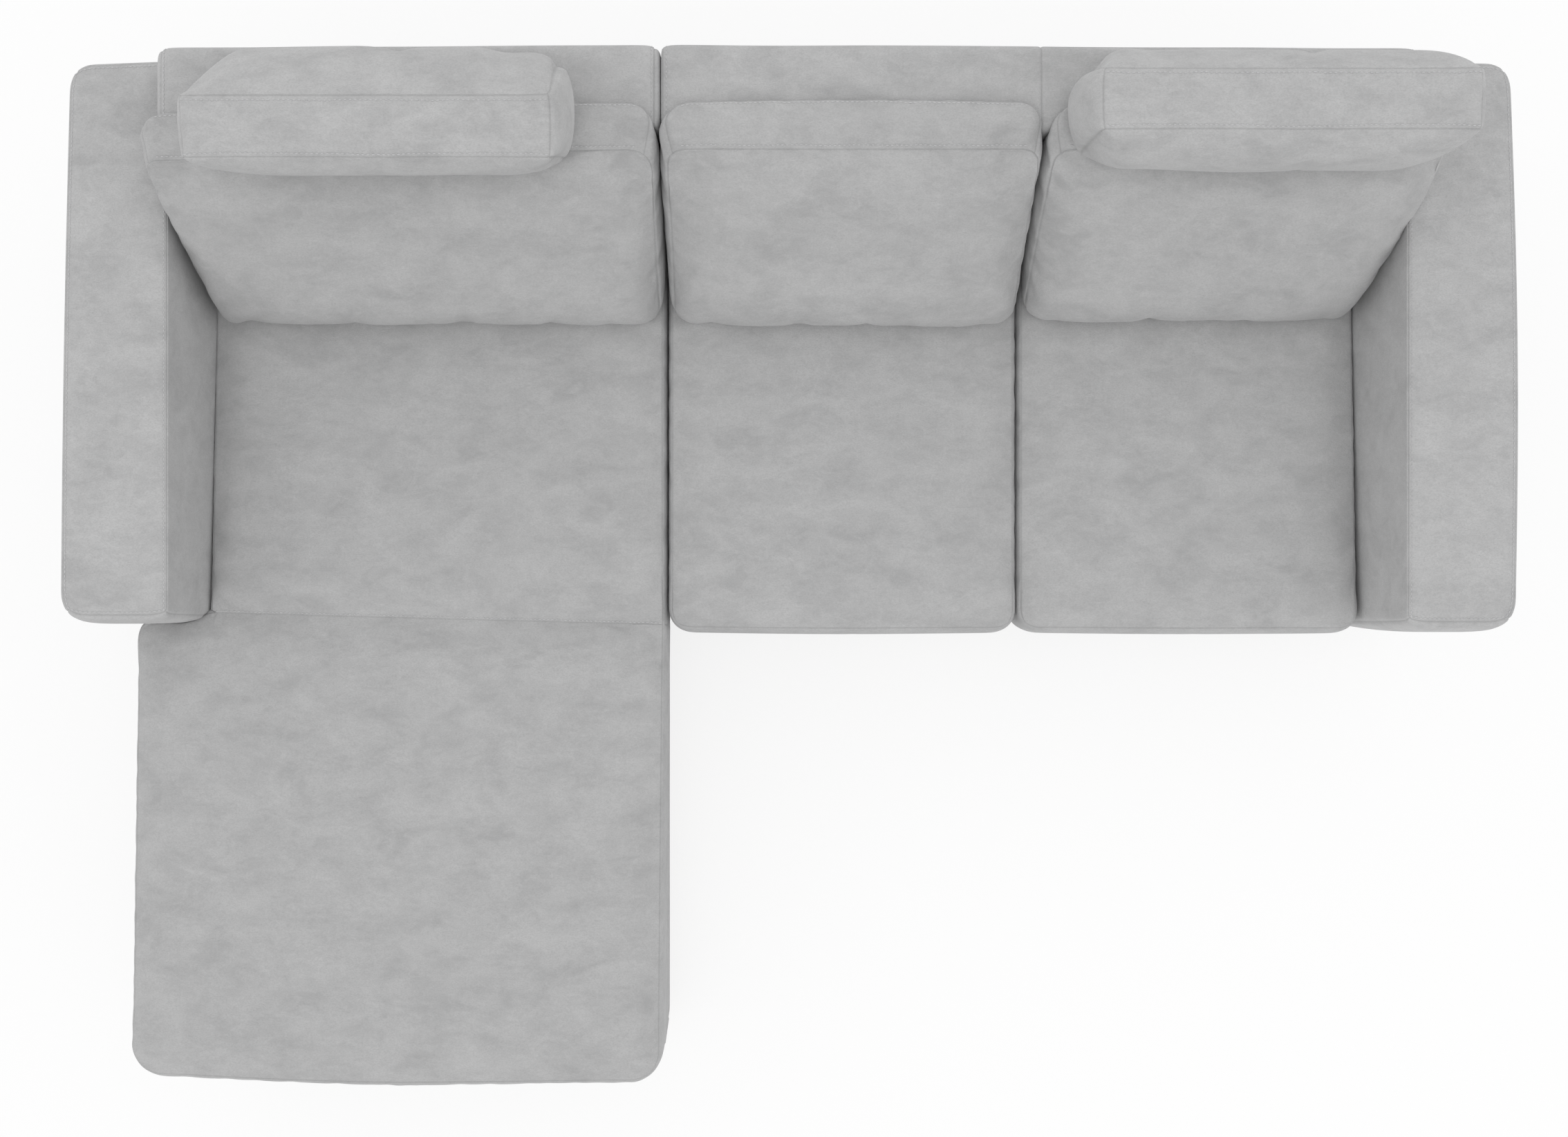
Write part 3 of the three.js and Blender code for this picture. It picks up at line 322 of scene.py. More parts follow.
class SewnForm:
    """A front panel, a back panel and the strip that is sewn in between, laid out flat in x and y, with z
    through the thickness. A point of a panel goes by its column and row, and one of the strip by those of its
    point on the rim and by its level. The rim is the front panel's outline, in order."""

    def __init__(self, xs, ys, zs, corners=(), gone=None):
        self.xs, self.ys, self.zs = xs, ys, zs
        self.thickness = zs[-1]
        self.cells = [
            (i, j)
            for i in range(len(xs) - 1)
            for j in range(len(ys) - 1)
            if gone is None or not gone((xs[i] + xs[i + 1]) / 2, (ys[j] + ys[j + 1]) / 2)
        ]
        edges = set()
        for cell in self.cells:
            loop = self.around(cell)
            edges.update(zip(loop, loop[1:] + loop[:1]))
        after = {a: b for a, b in edges if (b, a) not in edges}
        self.rim = [min(after)]
        while after[self.rim[-1]] != self.rim[0]:
            self.rim.append(after[self.rim[-1]])
        keys = sorted({key for cell in self.cells for key in self.around(cell)})
        self.plan = {(i, j): rounded(xs[i], ys[j], corners) for i, j in keys}
        self.out = {}
        for n, key in enumerate(self.rim):
            before = self.plan[self.rim[n - 1]]
            behind = self.plan[self.rim[(n + 1) % len(self.rim)]]
            run = math.hypot(behind[0] - before[0], behind[1] - before[1])
            self.out[key] = ((behind[1] - before[1]) / run, -(behind[0] - before[0]) / run)
        self.inset = dict(zip(keys, self.distances(keys)))
        self.front = {}
        self.strip = {}
        self.seams = set()

    def around(self, cell):
        i, j = cell
        return [(i, j), (i + 1, j), (i + 1, j + 1), (i, j + 1)]

    def distances(self, keys):
        """How far each point of the panel lies inside the rim."""
        points = np.array([self.plan[key] for key in keys])
        starts = np.array([self.plan[key] for key in self.rim])
        runs = np.roll(starts, -1, axis=0) - starts
        nearest = np.full(len(points), np.inf)
        for start, run in zip(starts, runs):
            share = np.clip((points - start) @ run / (run @ run), 0, 1)
            nearest = np.minimum(nearest, np.linalg.norm(points - start - share[:, None] * run, axis=1))
        return nearest

    def build(self, name, place, panel, strip, back=None, groove=seam_groove, seam_rows=(), seam_levels=(),
              seam_corners=(), stitched_rows=()):
        """panel(x, y, inset) is how far the front panel stands out, and strip(x, y, z, out) how far the strip
        does. back does for the back panel what panel does, and without it the back is flat. Rows of stitches
        sink in a little, as seams do."""
        points = []

        def add(x, y, z, sewn=False):
            if sewn:
                self.seams.add(len(points))
            points.append(place(x, y, z))
            return len(points) - 1

        last = len(self.zs) - 1
        sunk_rows = {self.ys.index(row) for row in seam_rows}
        stitched = {at for row in stitched_rows for at in row}
        for key, (x, y) in self.plan.items():
            z = self.thickness + panel(x, y, self.inset[key])
            sewn = key in self.out or key[1] in sunk_rows
            if key in self.out:
                x -= groove * self.out[key][0]
                y -= groove * self.out[key][1]
            sunk = stitch_sink if key in stitched else 0.0
            self.front[key] = add(x, y, z - groove * sewn - sunk, sewn)
        for key in self.rim:
            x, y = self.plan[key]
            out = self.out[key]
            self.strip[key, last] = self.front[key]
            for level in range(last):
                z = self.zs[level]
                sewn = level == 0 or level in seam_levels or key in seam_corners
                sunk = stitch_sink if (key, level) in stitched else 0.0
                reach = strip(x, y, z, out) - groove * sewn - sunk
                self.strip[key, level] = add(x + reach * out[0], y + reach * out[1], z, sewn)
        faces = [[self.front[key] for key in self.around(cell)] for cell in self.cells]
        for here, there in zip(self.rim, self.rim[1:] + self.rim[:1]):
            for level in range(last):
                corners = ((here, level), (there, level), (there, level + 1), (here, level + 1))
                faces.append([self.strip[corner] for corner in corners])
        rear = {key: self.strip[key, 0] for key in self.rim}
        for key, (x, y) in self.plan.items():
            if key not in rear:
                rear[key] = add(x, y, -back(x, y, self.inset[key]) if back else 0.0)
        faces += [[rear[key] for key in reversed(self.around(cell))] for cell in self.cells]
        mesh = bpy.data.meshes.new(name)
        mesh.from_pydata([tuple(p) for p in points], [], faces)
        piece = add_object(name, mesh)
        stitches = {self.number(at) for at in stitched}
        # The seam attribute is the weight of the painted shade: full in a seam, stitch_shade along a row of
        # stitches.
        seam = mesh.attributes.new("seam", "FLOAT", "POINT")
        shades = [1.0 if n in self.seams else stitch_shade * (n in stitches) for n in range(len(points))]
        seam.data.foreach_set("value", shades)
        return piece

    def number(self, at):
        """The number of a point of the front panel or of the strip in the piece's mesh."""
        return self.strip[at] if at in self.strip else self.front[at]


def applied(piece):
    """Gives a piece the mesh that its modifiers make of its own."""
    rough = piece.data
    shaped = piece.evaluated_get(bpy.context.evaluated_depsgraph_get())
    piece.data = bpy.data.meshes.new_from_object(shaped)
    piece.modifiers.clear()
    bpy.data.meshes.remove(rough)
    piece.data.name = piece.name


def smoothed(piece):
    """Subdivides a piece once its rough form is final. Its first points keep their numbers."""
    finer = piece.modifiers.new("finer", "SUBSURF")
    finer.levels = 1
    finer.render_levels = 1
    applied(piece)
    piece.data.polygons.foreach_set("use_smooth", [True] * len(piece.data.polygons))
    piece.data.update()
    return piece


def rolled(distance, depth, width):
    """How far a panel stands out beyond its seam, at a distance from that seam: fabric rolls into a seam."""
    return depth * (1 - (1 - min(distance / width, 1.0)) ** 2)


def upholster(piece, finish, body, replaced):
    piece.data.materials.append(finish)
    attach(piece, body)
    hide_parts(replaced)


border_fabric = brushed_fabric("border_fabric", 0.97, drift=3.1)
border_pitch = 0.02
border_roll = 0.0025
border_roll_width = 0.005
border_groove = 0.0006
border_fullness = 0.002  # how far its face stands out beyond its seams
border_fullness_width = 0.015
border_waviness = 0.15  # share by which that fullness varies
border_rear_gap = 0.002  # from its rear to that of its solid
border_lap = 0.003  # how far it reaches past its solid, up to the cushion and to the arm
border_tuck = 0.002  # how far in its lower edge is drawn, so little that the square rail behind stays covered
border_corner = 0.024


def border(node, inward, round_low=False, round_high=False):
    """inward is the way in from its face, along the axis across its run. Its ends at the low and high side of
    its run may turn a round corner of the base."""
    low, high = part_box(node)
    along_x = high.x - low.x > high.y - low.y
    start, end = (low.x, high.x) if along_x else (low.y, high.y)
    depth = (high.y - low.y) if along_x else (high.x - low.x)
    outer = (low if inward > 0 else high)[1 if along_x else 0]
    rounded_ends = [start] * round_low + [end] * round_high
    middle = (start + end) / 2
    form = SewnForm(
        mesh_lines(start - border_lap * (not round_low), end + border_lap * (not round_high), border_pitch),
        mesh_lines(low.z + border_roll, high.z + border_lap, border_pitch),
        [0.0, depth * 0.5, depth - border_rear_gap],
    )

    def place(u, v, w):
        tucked = border_tuck * max(high.z - v, 0.0) / (high.z - low.z)
        across = outer + inward * (depth - border_rear_gap - w + tucked)
        for turn in rounded_ends:
            near = clamped(1 - abs(u - turn) / border_corner)
            across += inward * border_corner * (1 - math.sqrt(1 - near * near))
            u += math.copysign((tucked + border_fullness) * near, middle - turn)
        return (u, across, v) if along_x else (across, u, v)

    def panel(x, y, inset):
        wavy = 1 + border_waviness * noise.noise((x * 9, y * 9, depth))
        return rolled(inset, border_fullness, border_fullness_width) * wavy

    def strip(x, y, z, out):
        return rolled(min(z, depth - z), border_roll, border_roll_width)

    piece = form.build(node + "_cloth", place, panel, strip, groove=border_groove)
    outward = Vector((0, -inward, 0)) if along_x else Vector((-inward, 0, 0))
    front = [piece.data.vertices[form.front[key]].co for key in form.around(form.cells[0])]
    if (front[1] - front[0]).cross(front[2] - front[1]).dot(outward) < 0:
        piece.data.flip_normals()
    smoothed(piece)
    upholster(piece, border_fabric, "sofa_base", node)


border("chaise_front_border", 1, round_low=True, round_high=True)
border("chaise_foot_side_border", 1, round_low=True)
border("chaise_right_border", -1, round_low=True)
border("seat_left_border", 1, round_low=True)
border("chaise_foot_rear_border", -1)
border("seat_front_border", 1, round_low=True)


# Top stitching. Beside most seams the seam allowance is sewn down with one row of thick grey thread, a stitch
# every 8 mm, and each stitch is a short raised bead of thread.
stitch_pitch = 0.0082
stitch_length = 0.0058
stitch_lift = 0.0004
thread_width = 0.0018
thread_grey = (0.60, 0.60, 0.605)

thread, tree, shader = plain_material("stitch_thread", 0.6)
strands = noise_field(tree, object_coordinates(tree), 1800.0, detail=2.0)
thread_dark = tuple(0.86 * part for part in thread_grey)
paint(tree, shader, mixed_colour(tree, between(tree, strands, 0.0, 1.0), thread_grey, thread_dark))
relief(tree, shader, [(strands, 0.0002, 0.6)])


def stitching_tree():
    """Geometry nodes that lay beads of thread along the edges of a mesh."""
    tree = bpy.data.node_groups.new("stitching", "GeometryNodeTree")
    interface = tree.interface
    interface.new_socket("Geometry", in_out="INPUT", socket_type="NodeSocketGeometry")
    for name in ("Pitch", "Length", "Width"):
        interface.new_socket(name, in_out="INPUT", socket_type="NodeSocketFloat")
    interface.new_socket("Thread", in_out="INPUT", socket_type="NodeSocketMaterial")
    interface.new_socket("Geometry", in_out="OUTPUT", socket_type="NodeSocketGeometry")
    add = tree.nodes.new
    given = add("NodeGroupInput")
    made = add("NodeGroupOutput")
    path = add("GeometryNodeMeshToCurve")
    steps = add("GeometryNodeResampleCurve")
    steps.mode = "LENGTH"
    bead = add("GeometryNodeMeshUVSphere")
    bead.inputs["Segments"].default_value = 6
    bead.inputs["Rings"].default_value = 4
    bead.inputs["Radius"].default_value = 0.5
    tangent = add("GeometryNodeInputTangent")
    turn = add("FunctionNodeAlignRotationToVector")
    turn.axis = "Z"
    size = add("ShaderNodeCombineXYZ")
    copies = add("GeometryNodeInstanceOnPoints")
    real = add("GeometryNodeRealizeInstances")
    finish = add("GeometryNodeSetMaterial")
    smooth = add("GeometryNodeSetShadeSmooth")
    for source, output, target, entry in (
        (given, "Geometry", path, "Mesh"), (path, "Curve", steps, "Curve"), (given, "Pitch", steps, "Length"),
        (steps, "Curve", copies, "Points"), (bead, "Mesh", copies, "Instance"),
        (tangent, "Tangent", turn, "Vector"), (turn, "Rotation", copies, "Rotation"),
        (given, "Width", size, "X"), (given, "Width", size, "Y"), (given, "Length", size, "Z"),
        (size, "Vector", copies, "Scale"), (copies, "Instances", real, "Geometry"),
        (real, "Geometry", smooth, "Geometry"), (smooth, "Geometry", finish, "Geometry"),
        (given, "Thread", finish, "Material"), (finish, "Geometry", made, "Geometry"),
    ):
        tree.links.new(source.outputs[output], target.inputs[entry])
    return tree


stitching = stitching_tree()


def stitch(form, piece, name, rows, body):
    """Lays stitches along rows of a finished piece's points, as one mesh."""
    points = []
    edges = []
    vertices = piece.data.vertices
    for row in rows:
        first = len(points)
        numbers = [form.number(at) for at in row]
        points += [vertices[n].co + stitch_lift * vertices[n].normal for n in numbers]
        edges += [(n, n + 1) for n in range(first, len(points) - 1)]
    mesh = bpy.data.meshes.new(name)
    mesh.from_pydata(points, edges, [])
    sewing = add_object(name, mesh)
    modifier = sewing.modifiers.new("stitching", "NODES")
    modifier.node_group = stitching
    sizes = {"Pitch": stitch_pitch, "Length": stitch_length, "Width": thread_width, "Thread": thread}
    for item in stitching.interface.items_tree:
        if item.in_out == "INPUT" and item.name in sizes:
            modifier[item.identifier] = sizes[item.name]
    applied(sewing)
    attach(sewing, body)


def stretch(rim, keep):
    """The stretch of a closed rim that keep chooses."""
    start = next(n for n, key in enumerate(rim) if keep(key) and not keep(rim[n - 1]))
    turned = rim[start:] + rim[:start]
    end = next(n for n, key in enumerate(turned) if not keep(key))
    return turned[:end]


# Arms. Each is a timber ladder in a padded sleeve of foam, wadding and fabric. The top panel is sewn in with
# a stitched seam all round, the front and inner panels meet in an upright seam, and the inner side swells out
# over the seat.
arm_roll = 0.005
arm_roll_width = 0.02
arm_crown = 0.006
arm_top_drop = 0.008  # from the arm's full height to its seam
arm_corner = 0.040
arm_inner_corner = 0.014
arm_front_corner = 0.022  # radius, seen from the seat, of the inner panel's upper front corner
arm_front_corner_width = 0.03  # how far from the inner side that corner fades out
arm_front_seam = 0.018  # from the arm's front face, where it is fullest, to its seam
arm_side_swell = 0.004
arm_pitch = 0.016
arm_height_pitch = 0.0224
arm_floor_clearance = 0.001
arm_inner_gap = 0.001
arm_flare_front = 0.014
arm_flare_rear = 0.034
seat_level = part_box("middle_seat_cushion")[0].z
back_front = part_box("seat_back_cover")[0].y
cushion_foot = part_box("middle_back_cushion")[0].y


def smoothstep(value, low, high):
    """Rises from 0 at low to 1 at high, and low may be the greater of the two."""
    share = clamped((value - low) / (high - low))
    return share * share * (3 - 2 * share)


def arm(side, node, proud, spread, bow, front_swell, rear_seams):
    """proud is how far its outer seam stands beyond the solid, spread how much less it does at the rear and
    bow how much more half way. rear_seams are how far behind the solid its top seam lies at its inner and its
    outer end."""
    low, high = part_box(node)
    seam_z = high.z - arm_top_drop
    bottom = low.z + arm_floor_clearance
    outer = side * (high.x if side > 0 else low.x)
    inner = side * (high.x if side < 0 else low.x) + arm_flare_rear
    # The form is laid out with x growing from the inner side to the outer one, and mirrored for the left arm.
    xs = mesh_lines(inner + arm_inner_gap, outer + proud, arm_pitch)
    ys = mesh_lines(low.y + arm_front_seam, high.y, arm_pitch)
    zs = mesh_lines(0.0, seam_z - bottom, arm_height_pitch)
    radii = (arm_inner_corner, arm_corner, arm_inner_corner, arm_corner)
    form = SewnForm(xs, ys, zs, square_corners(xs, ys, radii))
    half_x = (xs[-1] - xs[0]) / 2
    half_y = (ys[-1] - ys[0]) / 2

    def flare(y, z):
        along = clamped((y - ys[0]) / (cushion_foot - ys[0]))
        reach = blend(arm_flare_front, arm_flare_rear, along)
        rise = clamped((z + bottom - seat_level) / (seam_z - seat_level))
        return reach * (1 - smoothstep(y, cushion_foot, back_front)) * math.sin(math.pi * math.sqrt(rise))

    def panel(x, y, inset):
        u = (x - xs[0]) / half_x - 1
        v = (y - ys[0]) / half_y - 1
        dome = max(0.0, 1 - abs(u) ** 3) * max(0.0, 1 - abs(v) ** 6)
        return rolled(inset, arm_top_drop - arm_crown, arm_roll_width) + arm_crown * dome

    def strip(x, y, z, out):
        edge = min(z, form.thickness - z)
        share = math.sin(math.pi * z / form.thickness)
        to_inner = max(-out[0], 0.0)
        to_front = max(-out[1], 0.0)
        u = min(abs((x - xs[0]) / half_x - 1), 1.0)
        reach = rolled(edge, arm_roll, arm_roll_width) * (1 - u ** 8 * to_front) * (1 - to_inner)
        reach += max(out[0], 0.0) * arm_side_swell * math.sqrt(share)
        inner_end = clamped((xs[0] + half_x - x) / half_x)
        reach += to_front * front_swell * math.sqrt(1 - 0.999 * inner_end ** 4) * share ** 0.35
        return reach + to_inner * flare(y, z)

    def place(x, y, z):
        outward = (x - xs[0]) / (xs[-1] - xs[0])
        rearward = clamped((y - ys[0]) / (ys[-1] - ys[0]))
        bowed = bow * math.sin(math.pi * rearward) - spread * rearward
        at_inner = clamped(1 - (x - xs[0]) / arm_front_corner_width)
        y_round, z_round = rounded(y, z, [(ys[0], zs[-1], -1, 1, arm_front_corner)])
        y += (y_round - y) * at_inner
        z += (z_round - z) * at_inner
        behind = blend(*rear_seams, outward) * rearward ** 6
        return (side * (x + outward * bowed), y + behind, bottom + z)

    last_x, last_y = len(xs) - 1, len(ys) - 1
    upright_seams = {(0, 0), (last_x, 0), (0, last_y), (last_x, last_y)}
    row = []
    for i, j in form.rim:
        beside_i = min(max(i, stitch_step), last_x - stitch_step)
        beside_j = min(max(j, stitch_step), last_y - stitch_step)
        if (beside_i, beside_j) not in row:
            row.append((beside_i, beside_j))
    rows = [[*row, row[0]]]
    piece = form.build(
        node + "_upholstery", place, panel, strip, seam_corners=upright_seams, stitched_rows=rows,
    )
    if side < 0:
        piece.data.flip_normals()
    smoothed(piece)
    stitch(form, piece, node + "_stitching", rows, "sofa_base")
    return piece


arm_fabric = brushed_fabric("arm_fabric", 1.06, drift=0.4)
arms = {
    "left_arm_cover": arm(
        -1, "left_arm_cover", proud=0.0135, spread=0.017, bow=0.003, front_swell=0.016,
        rear_seams=(0.0115, 0.0045),
    ),
    "right_arm_cover": arm(
        1, "right_arm_cover", proud=-0.0005, spread=0.010, bow=0.009, front_swell=0.020,
        rear_seams=(0.0085, 0.0075),
    ),
}
for node, piece in arms.items():
    upholster(piece, arm_fabric, "sofa_base", node)


# Backs. Each module has its own back: a timber grid in a sleeve of foam and fabric. One piece of fabric wraps
# front, top and rear, with an end panel sewn in at each end, and the long back has one upright seam in it.
back_roll = 0.004
back_roll_width = 0.02
back_top_round = 0.024
back_end_inset = 0.0035  # from a back's end to the seam of its end panel
back_end_roll_width = 0.012
back_face_swell = 0.003
back_rear_swell = 0.004
back_underside = 0.2  # share of its fullness that the underside keeps
back_waves = 0.0012
back_pitch = 0.02
back_joint_x = 0.426
back_stitch_start = 0.02  # how far up from the lower edge the top stitching starts
back_taper = 0.030  # how far the end beside an arm is drawn in at the top
back_taper_length = 0.16


def back_rest(node, arm_end, end_depth, rear_slant, joints=()):
    """arm_end is the side of its arm, end_depth how far its end panels stand out, and rear_slant how much
    further back its rear face lies at its left and its right end."""
    low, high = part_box(node)
    start = low.x + back_end_inset
    end = high.x - back_end_inset
    ys = mesh_lines(low.y + back_roll, high.y - back_roll + back_rear_swell, back_pitch)
    zs = mesh_lines(low.z + arm_floor_clearance + back_roll, high.z - back_roll, back_pitch)
    places = [x - start for x in mesh_lines(start, end, back_pitch, joints)]
    top_radius = back_top_round - back_roll
    form = SewnForm(ys, zs, places, square_corners(ys, zs, (None, None, top_radius, top_radius)))
    joint_levels = {places.index(round(joint, 5) - start) for joint in joints}
    height = zs[-1] - zs[0]
    arm_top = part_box("left_arm_cover")[1].z

    def strip(y, z, x, out):
        reach = rolled(min(x, form.thickness - x), back_roll, back_roll_width)
        if out[1] < -0.5:
            return reach * back_underside
        slow = math.sin(math.pi * x / form.thickness)
        waves = back_waves * noise.noise((x * 5.0, y * 6.0, z * 5.0 + start))
        upright = math.sin(math.pi * (z - zs[0]) / height)
        return reach + waves + max(out[0], 0.0) * back_face_swell * slow * upright

    def place(y, z, x):
        from_arm = x if arm_end < 0 else form.thickness - x
        share = max(0.0, 1 - max(from_arm, 0.0) / back_taper_length)
        drawn_in = back_taper * share * smoothstep(z, arm_top, high.z)
        along = clamped(x / form.thickness)
        behind = blend(*rear_slant, along) * (y - ys[0]) / (ys[-1] - ys[0])
        return (start + x - arm_end * drawn_in, y + behind, z)

    def end_panel(y, z, inset):
        return rolled(inset, end_depth, back_end_roll_width)

    sewn_down = stretch(form.rim, lambda key: zs[key[1]] > zs[0] + back_stitch_start)
    rows = [[(key, level) for key in sewn_down] for level in (stitch_step, len(places) - 1 - stitch_step)]
    piece = form.build(
        node + "_upholstery", place, panel=end_panel, strip=strip, back=end_panel, seam_levels=joint_levels,
        stitched_rows=rows,
    )
    smoothed(piece)
    stitch(form, piece, node + "_stitching", rows, "sofa_base")
    return piece


back_fabric = brushed_fabric("back_fabric", 1.03, drift=1.9)
backs = {
    "chaise_back_cover": back_rest("chaise_back_cover", -1, 0.0095, (-0.0005, 0.004)),
    "seat_back_cover": back_rest("seat_back_cover", 1, 0.0035, (0.0045, -0.002), [back_joint_x]),
}
for node, piece in backs.items():
    upholster(piece, back_fabric, "sofa_base", node)


# Seat cushions. Three loose cushions of firm foam in zipped covers lie on the decks: a boxing strip is sewn
# between a top and a bottom panel. The chaise's is L-shaped, with a stitched cross seam at the arm's front.
seat_seam_drop = 0.016  # from the crown of the seat to its seam
seat_clearance = 0.001  # between a seat and its deck
seat_roll = 0.004
seat_roll_width = 0.02
seat_crown = 0.009
seat_fade = 0.10  # how slowly the crown rises from the seam inward
seat_swell = 0.005
seat_unevenness = 0.0016
seat_unevenness_width = 0.05  # how far inside its seam a panel is fully uneven
seat_front_seam = 0.009  # from the front of a seat's solid to its seam
seat_corner = 0.036
seat_rear_corner = 0.016
seat_pitch = 0.014
seat_caps = (0.009, 0.0025, 0.0)  # how far Cloth may move a point of the front, the strip and the rear
seat_slack = 0.012  # share by which Cloth lets the fabric grow
cross_seam_depth = 0.005
cross_seam_width = 0.02
puff_pressure = 4.0
puff_frames = 20
press_reach = 0.07  # how deep inside its support a point is still found
press_gap = 0.0008  # between a point and the surface that it is moved to


def puffed(piece, sewn, caps, slack):
    """Blows the cover up against its seams with Cloth, and lets no point move further than its cap."""
    scene = bpy.context.scene
    group = piece.vertex_groups.new(name="sewn")
    group.add(sorted(sewn), 1.0, "REPLACE")
    cloth = piece.modifiers.new("cloth", "CLOTH")
    settings = cloth.settings
    settings.quality = 5
    settings.mass = 0.3
    settings.tension_stiffness = 20
    settings.compression_stiffness = 20
    settings.shear_stiffness = 8
    settings.bending_stiffness = 0.6
    settings.vertex_group_mass = "sewn"
    settings.use_pressure = True
    settings.uniform_pressure_force = puff_pressure
    settings.shrink_min = -slack
    settings.effector_weights.gravity = 0.0
    cloth.collision_settings.use_collision = False
    cloth.point_cache.frame_start = 1
    cloth.point_cache.frame_end = puff_frames
    for number in range(1, puff_frames + 1):
        scene.frame_set(number)
    shaped = piece.evaluated_get(bpy.context.evaluated_depsgraph_get())
    count = len(piece.data.vertices)
    before = np.empty(count * 3)
    after = np.empty(count * 3)
    piece.data.vertices.foreach_get("co", before)
    shaped.data.vertices.foreach_get("co", after)
    before = before.reshape(-1, 3)
    moved = after.reshape(-1, 3) - before
    size = np.maximum(np.linalg.norm(moved, axis=1), 1e-9)
    limit = np.array(caps)
    moved *= (limit * np.tanh(size / np.maximum(limit, 1e-6)) / size)[:, None]
    piece.modifiers.remove(cloth)
    piece.vertex_groups.clear()
    piece.data.vertices.foreach_set("co", (before + moved).ravel())
    piece.data.update()
    scene.frame_set(1)


def pressed(piece, contacts):
    """Each contact is a support and its ways out. A point that lies inside a support is moved back to its
    surface, by the shortest of those ways, because the soft piece gives."""
    depsgraph = bpy.context.evaluated_depsgraph_get()
    for support, ways in contacts:
        solid = BVHTree.FromObject(support, depsgraph)
        for vertex in piece.data.vertices:
            moves = []
            for way in ways:
                hit = solid.ray_cast(vertex.co + way * press_reach, -way, press_reach)[0]
                if hit is not None:
                    moves.append(hit + way * press_gap - vertex.co)
            if len(moves) == len(ways):
                vertex.co += min(moves, key=lambda move: move.length)
    piece.data.update()


def filled(form, piece, node, caps, slack, contacts, finish):
    """Puffs up a cushion's cover, presses it back where it rests on its contacts, and dresses it."""
    limits = [caps[2]] * len(piece.data.vertices)
    for points, cap in ((form.strip, caps[1]), (form.front, caps[0])):
        for n in points.values():
            limits[n] = cap
    held = {n for n, limit in enumerate(limits) if limit == 0.0}
    puffed(piece, form.seams | held, limits, slack)
    pressed(piece, contacts)
    smoothed(piece)
    upholster(piece, finish, node, node)


upward = Vector((0, 0, 1))
forward = Vector((0, -1, 0))
rightward = Vector((1, 0, 0))
leftward = Vector((-1, 0, 0))
seat_fabric = brushed_fabric("seat_fabric", 0.99, drift=5.3)
seats = {}


def seat_cushion(name, node, xs, ys, corners, slant, contacts=(), gone=None, seam_rows=(), cross_start=0.0):
    """slant(x, y) is how far a point is moved along x and y, and cross_start is where the stitches along a
    cross seam start."""
    low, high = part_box(node)
    bottom = low.z + seat_clearance
    zs = mesh_lines(0.0, high.z - seat_seam_drop - low.z - seat_clearance, seat_pitch)
    form = SewnForm(xs, ys, zs, corners, gone)

    def place(x, y, z):
        dx, dy = slant(x, y)
        return (x + dx, y + dy, bottom + z)

    def panel(x, y, inset):
        height = rolled(inset, seat_roll, seat_roll_width) + seat_crown * (1 - math.exp(-inset / seat_fade))
        for row in seam_rows:
            near = math.exp(-((y - row) / cross_seam_width) ** 2)
            height -= cross_seam_depth * near * min(inset / cross_seam_width, 1.0)
        soft = seat_unevenness * noise.noise((x * 7.0, y * 7.0, low.x))
        return height + soft * min(inset / seat_unevenness_width, 1.0)

    def strip(x, y, z, out):
        share = math.sin(math.pi * z / form.thickness)
        reach = rolled(min(z, form.thickness - z), seat_roll, seat_roll_width)
        return reach + seat_swell * share ** 0.5 * max(-out[1], 0.0)

    rows = [
        [(i, ys.index(row) + stitch_step) for i in range(len(xs))
         if (i, ys.index(row) + stitch_step) in form.plan and xs[i] > cross_start]
        for row in seam_rows
    ]
    piece = form.build(name, place, panel, strip, seam_rows=seam_rows, stitched_rows=rows)
    filled(form, piece, node, seat_caps, seat_slack, contacts, seat_fabric)
    seats[node] = piece
    return piece, form


def fallen_back(bows, from_left, ahead):
    """How far a seat's front edge falls back towards its left and right corners, fading out to the rear."""
    return bows[0 if from_left < 0.5 else 1] * abs(2 * from_left - 1) ** 1.6 * ahead ** 3


def plain_seat(name, node, bows, contacts=(), right_taper=0.0, left_lap=0.0):
    """right_taper is how much narrower it is at its rear, and left_lap how far its left side reaches past the
    solid, into the gap there."""
    low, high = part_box(node)
    xs = mesh_lines(low.x + seat_roll - left_lap, high.x - seat_roll, seat_pitch)
    ys = mesh_lines(low.y + seat_front_seam, high.y - seat_roll, seat_pitch)
    corners = square_corners(xs, ys, (seat_corner, seat_corner, seat_rear_corner, seat_rear_corner))
    span = xs[-1] - xs[0]

    def slant(x, y):
        along = (y - ys[0]) / (ys[-1] - ys[0])
        from_left = (x - xs[0]) / span
        return -right_taper * along * from_left, fallen_back(bows, from_left, 1 - along)

    seat_cushion(name, node, xs, ys, corners, slant, contacts)


plain_seat("middle_seat_cover", "middle_seat_cushion", (0.004, 0.003), left_lap=0.001)
plain_seat(
    "right_seat_cover", "right_seat_cushion", (0.003, 0.002),
    contacts=[(arms["right_arm_cover"], [leftward])], right_taper=0.014,
)

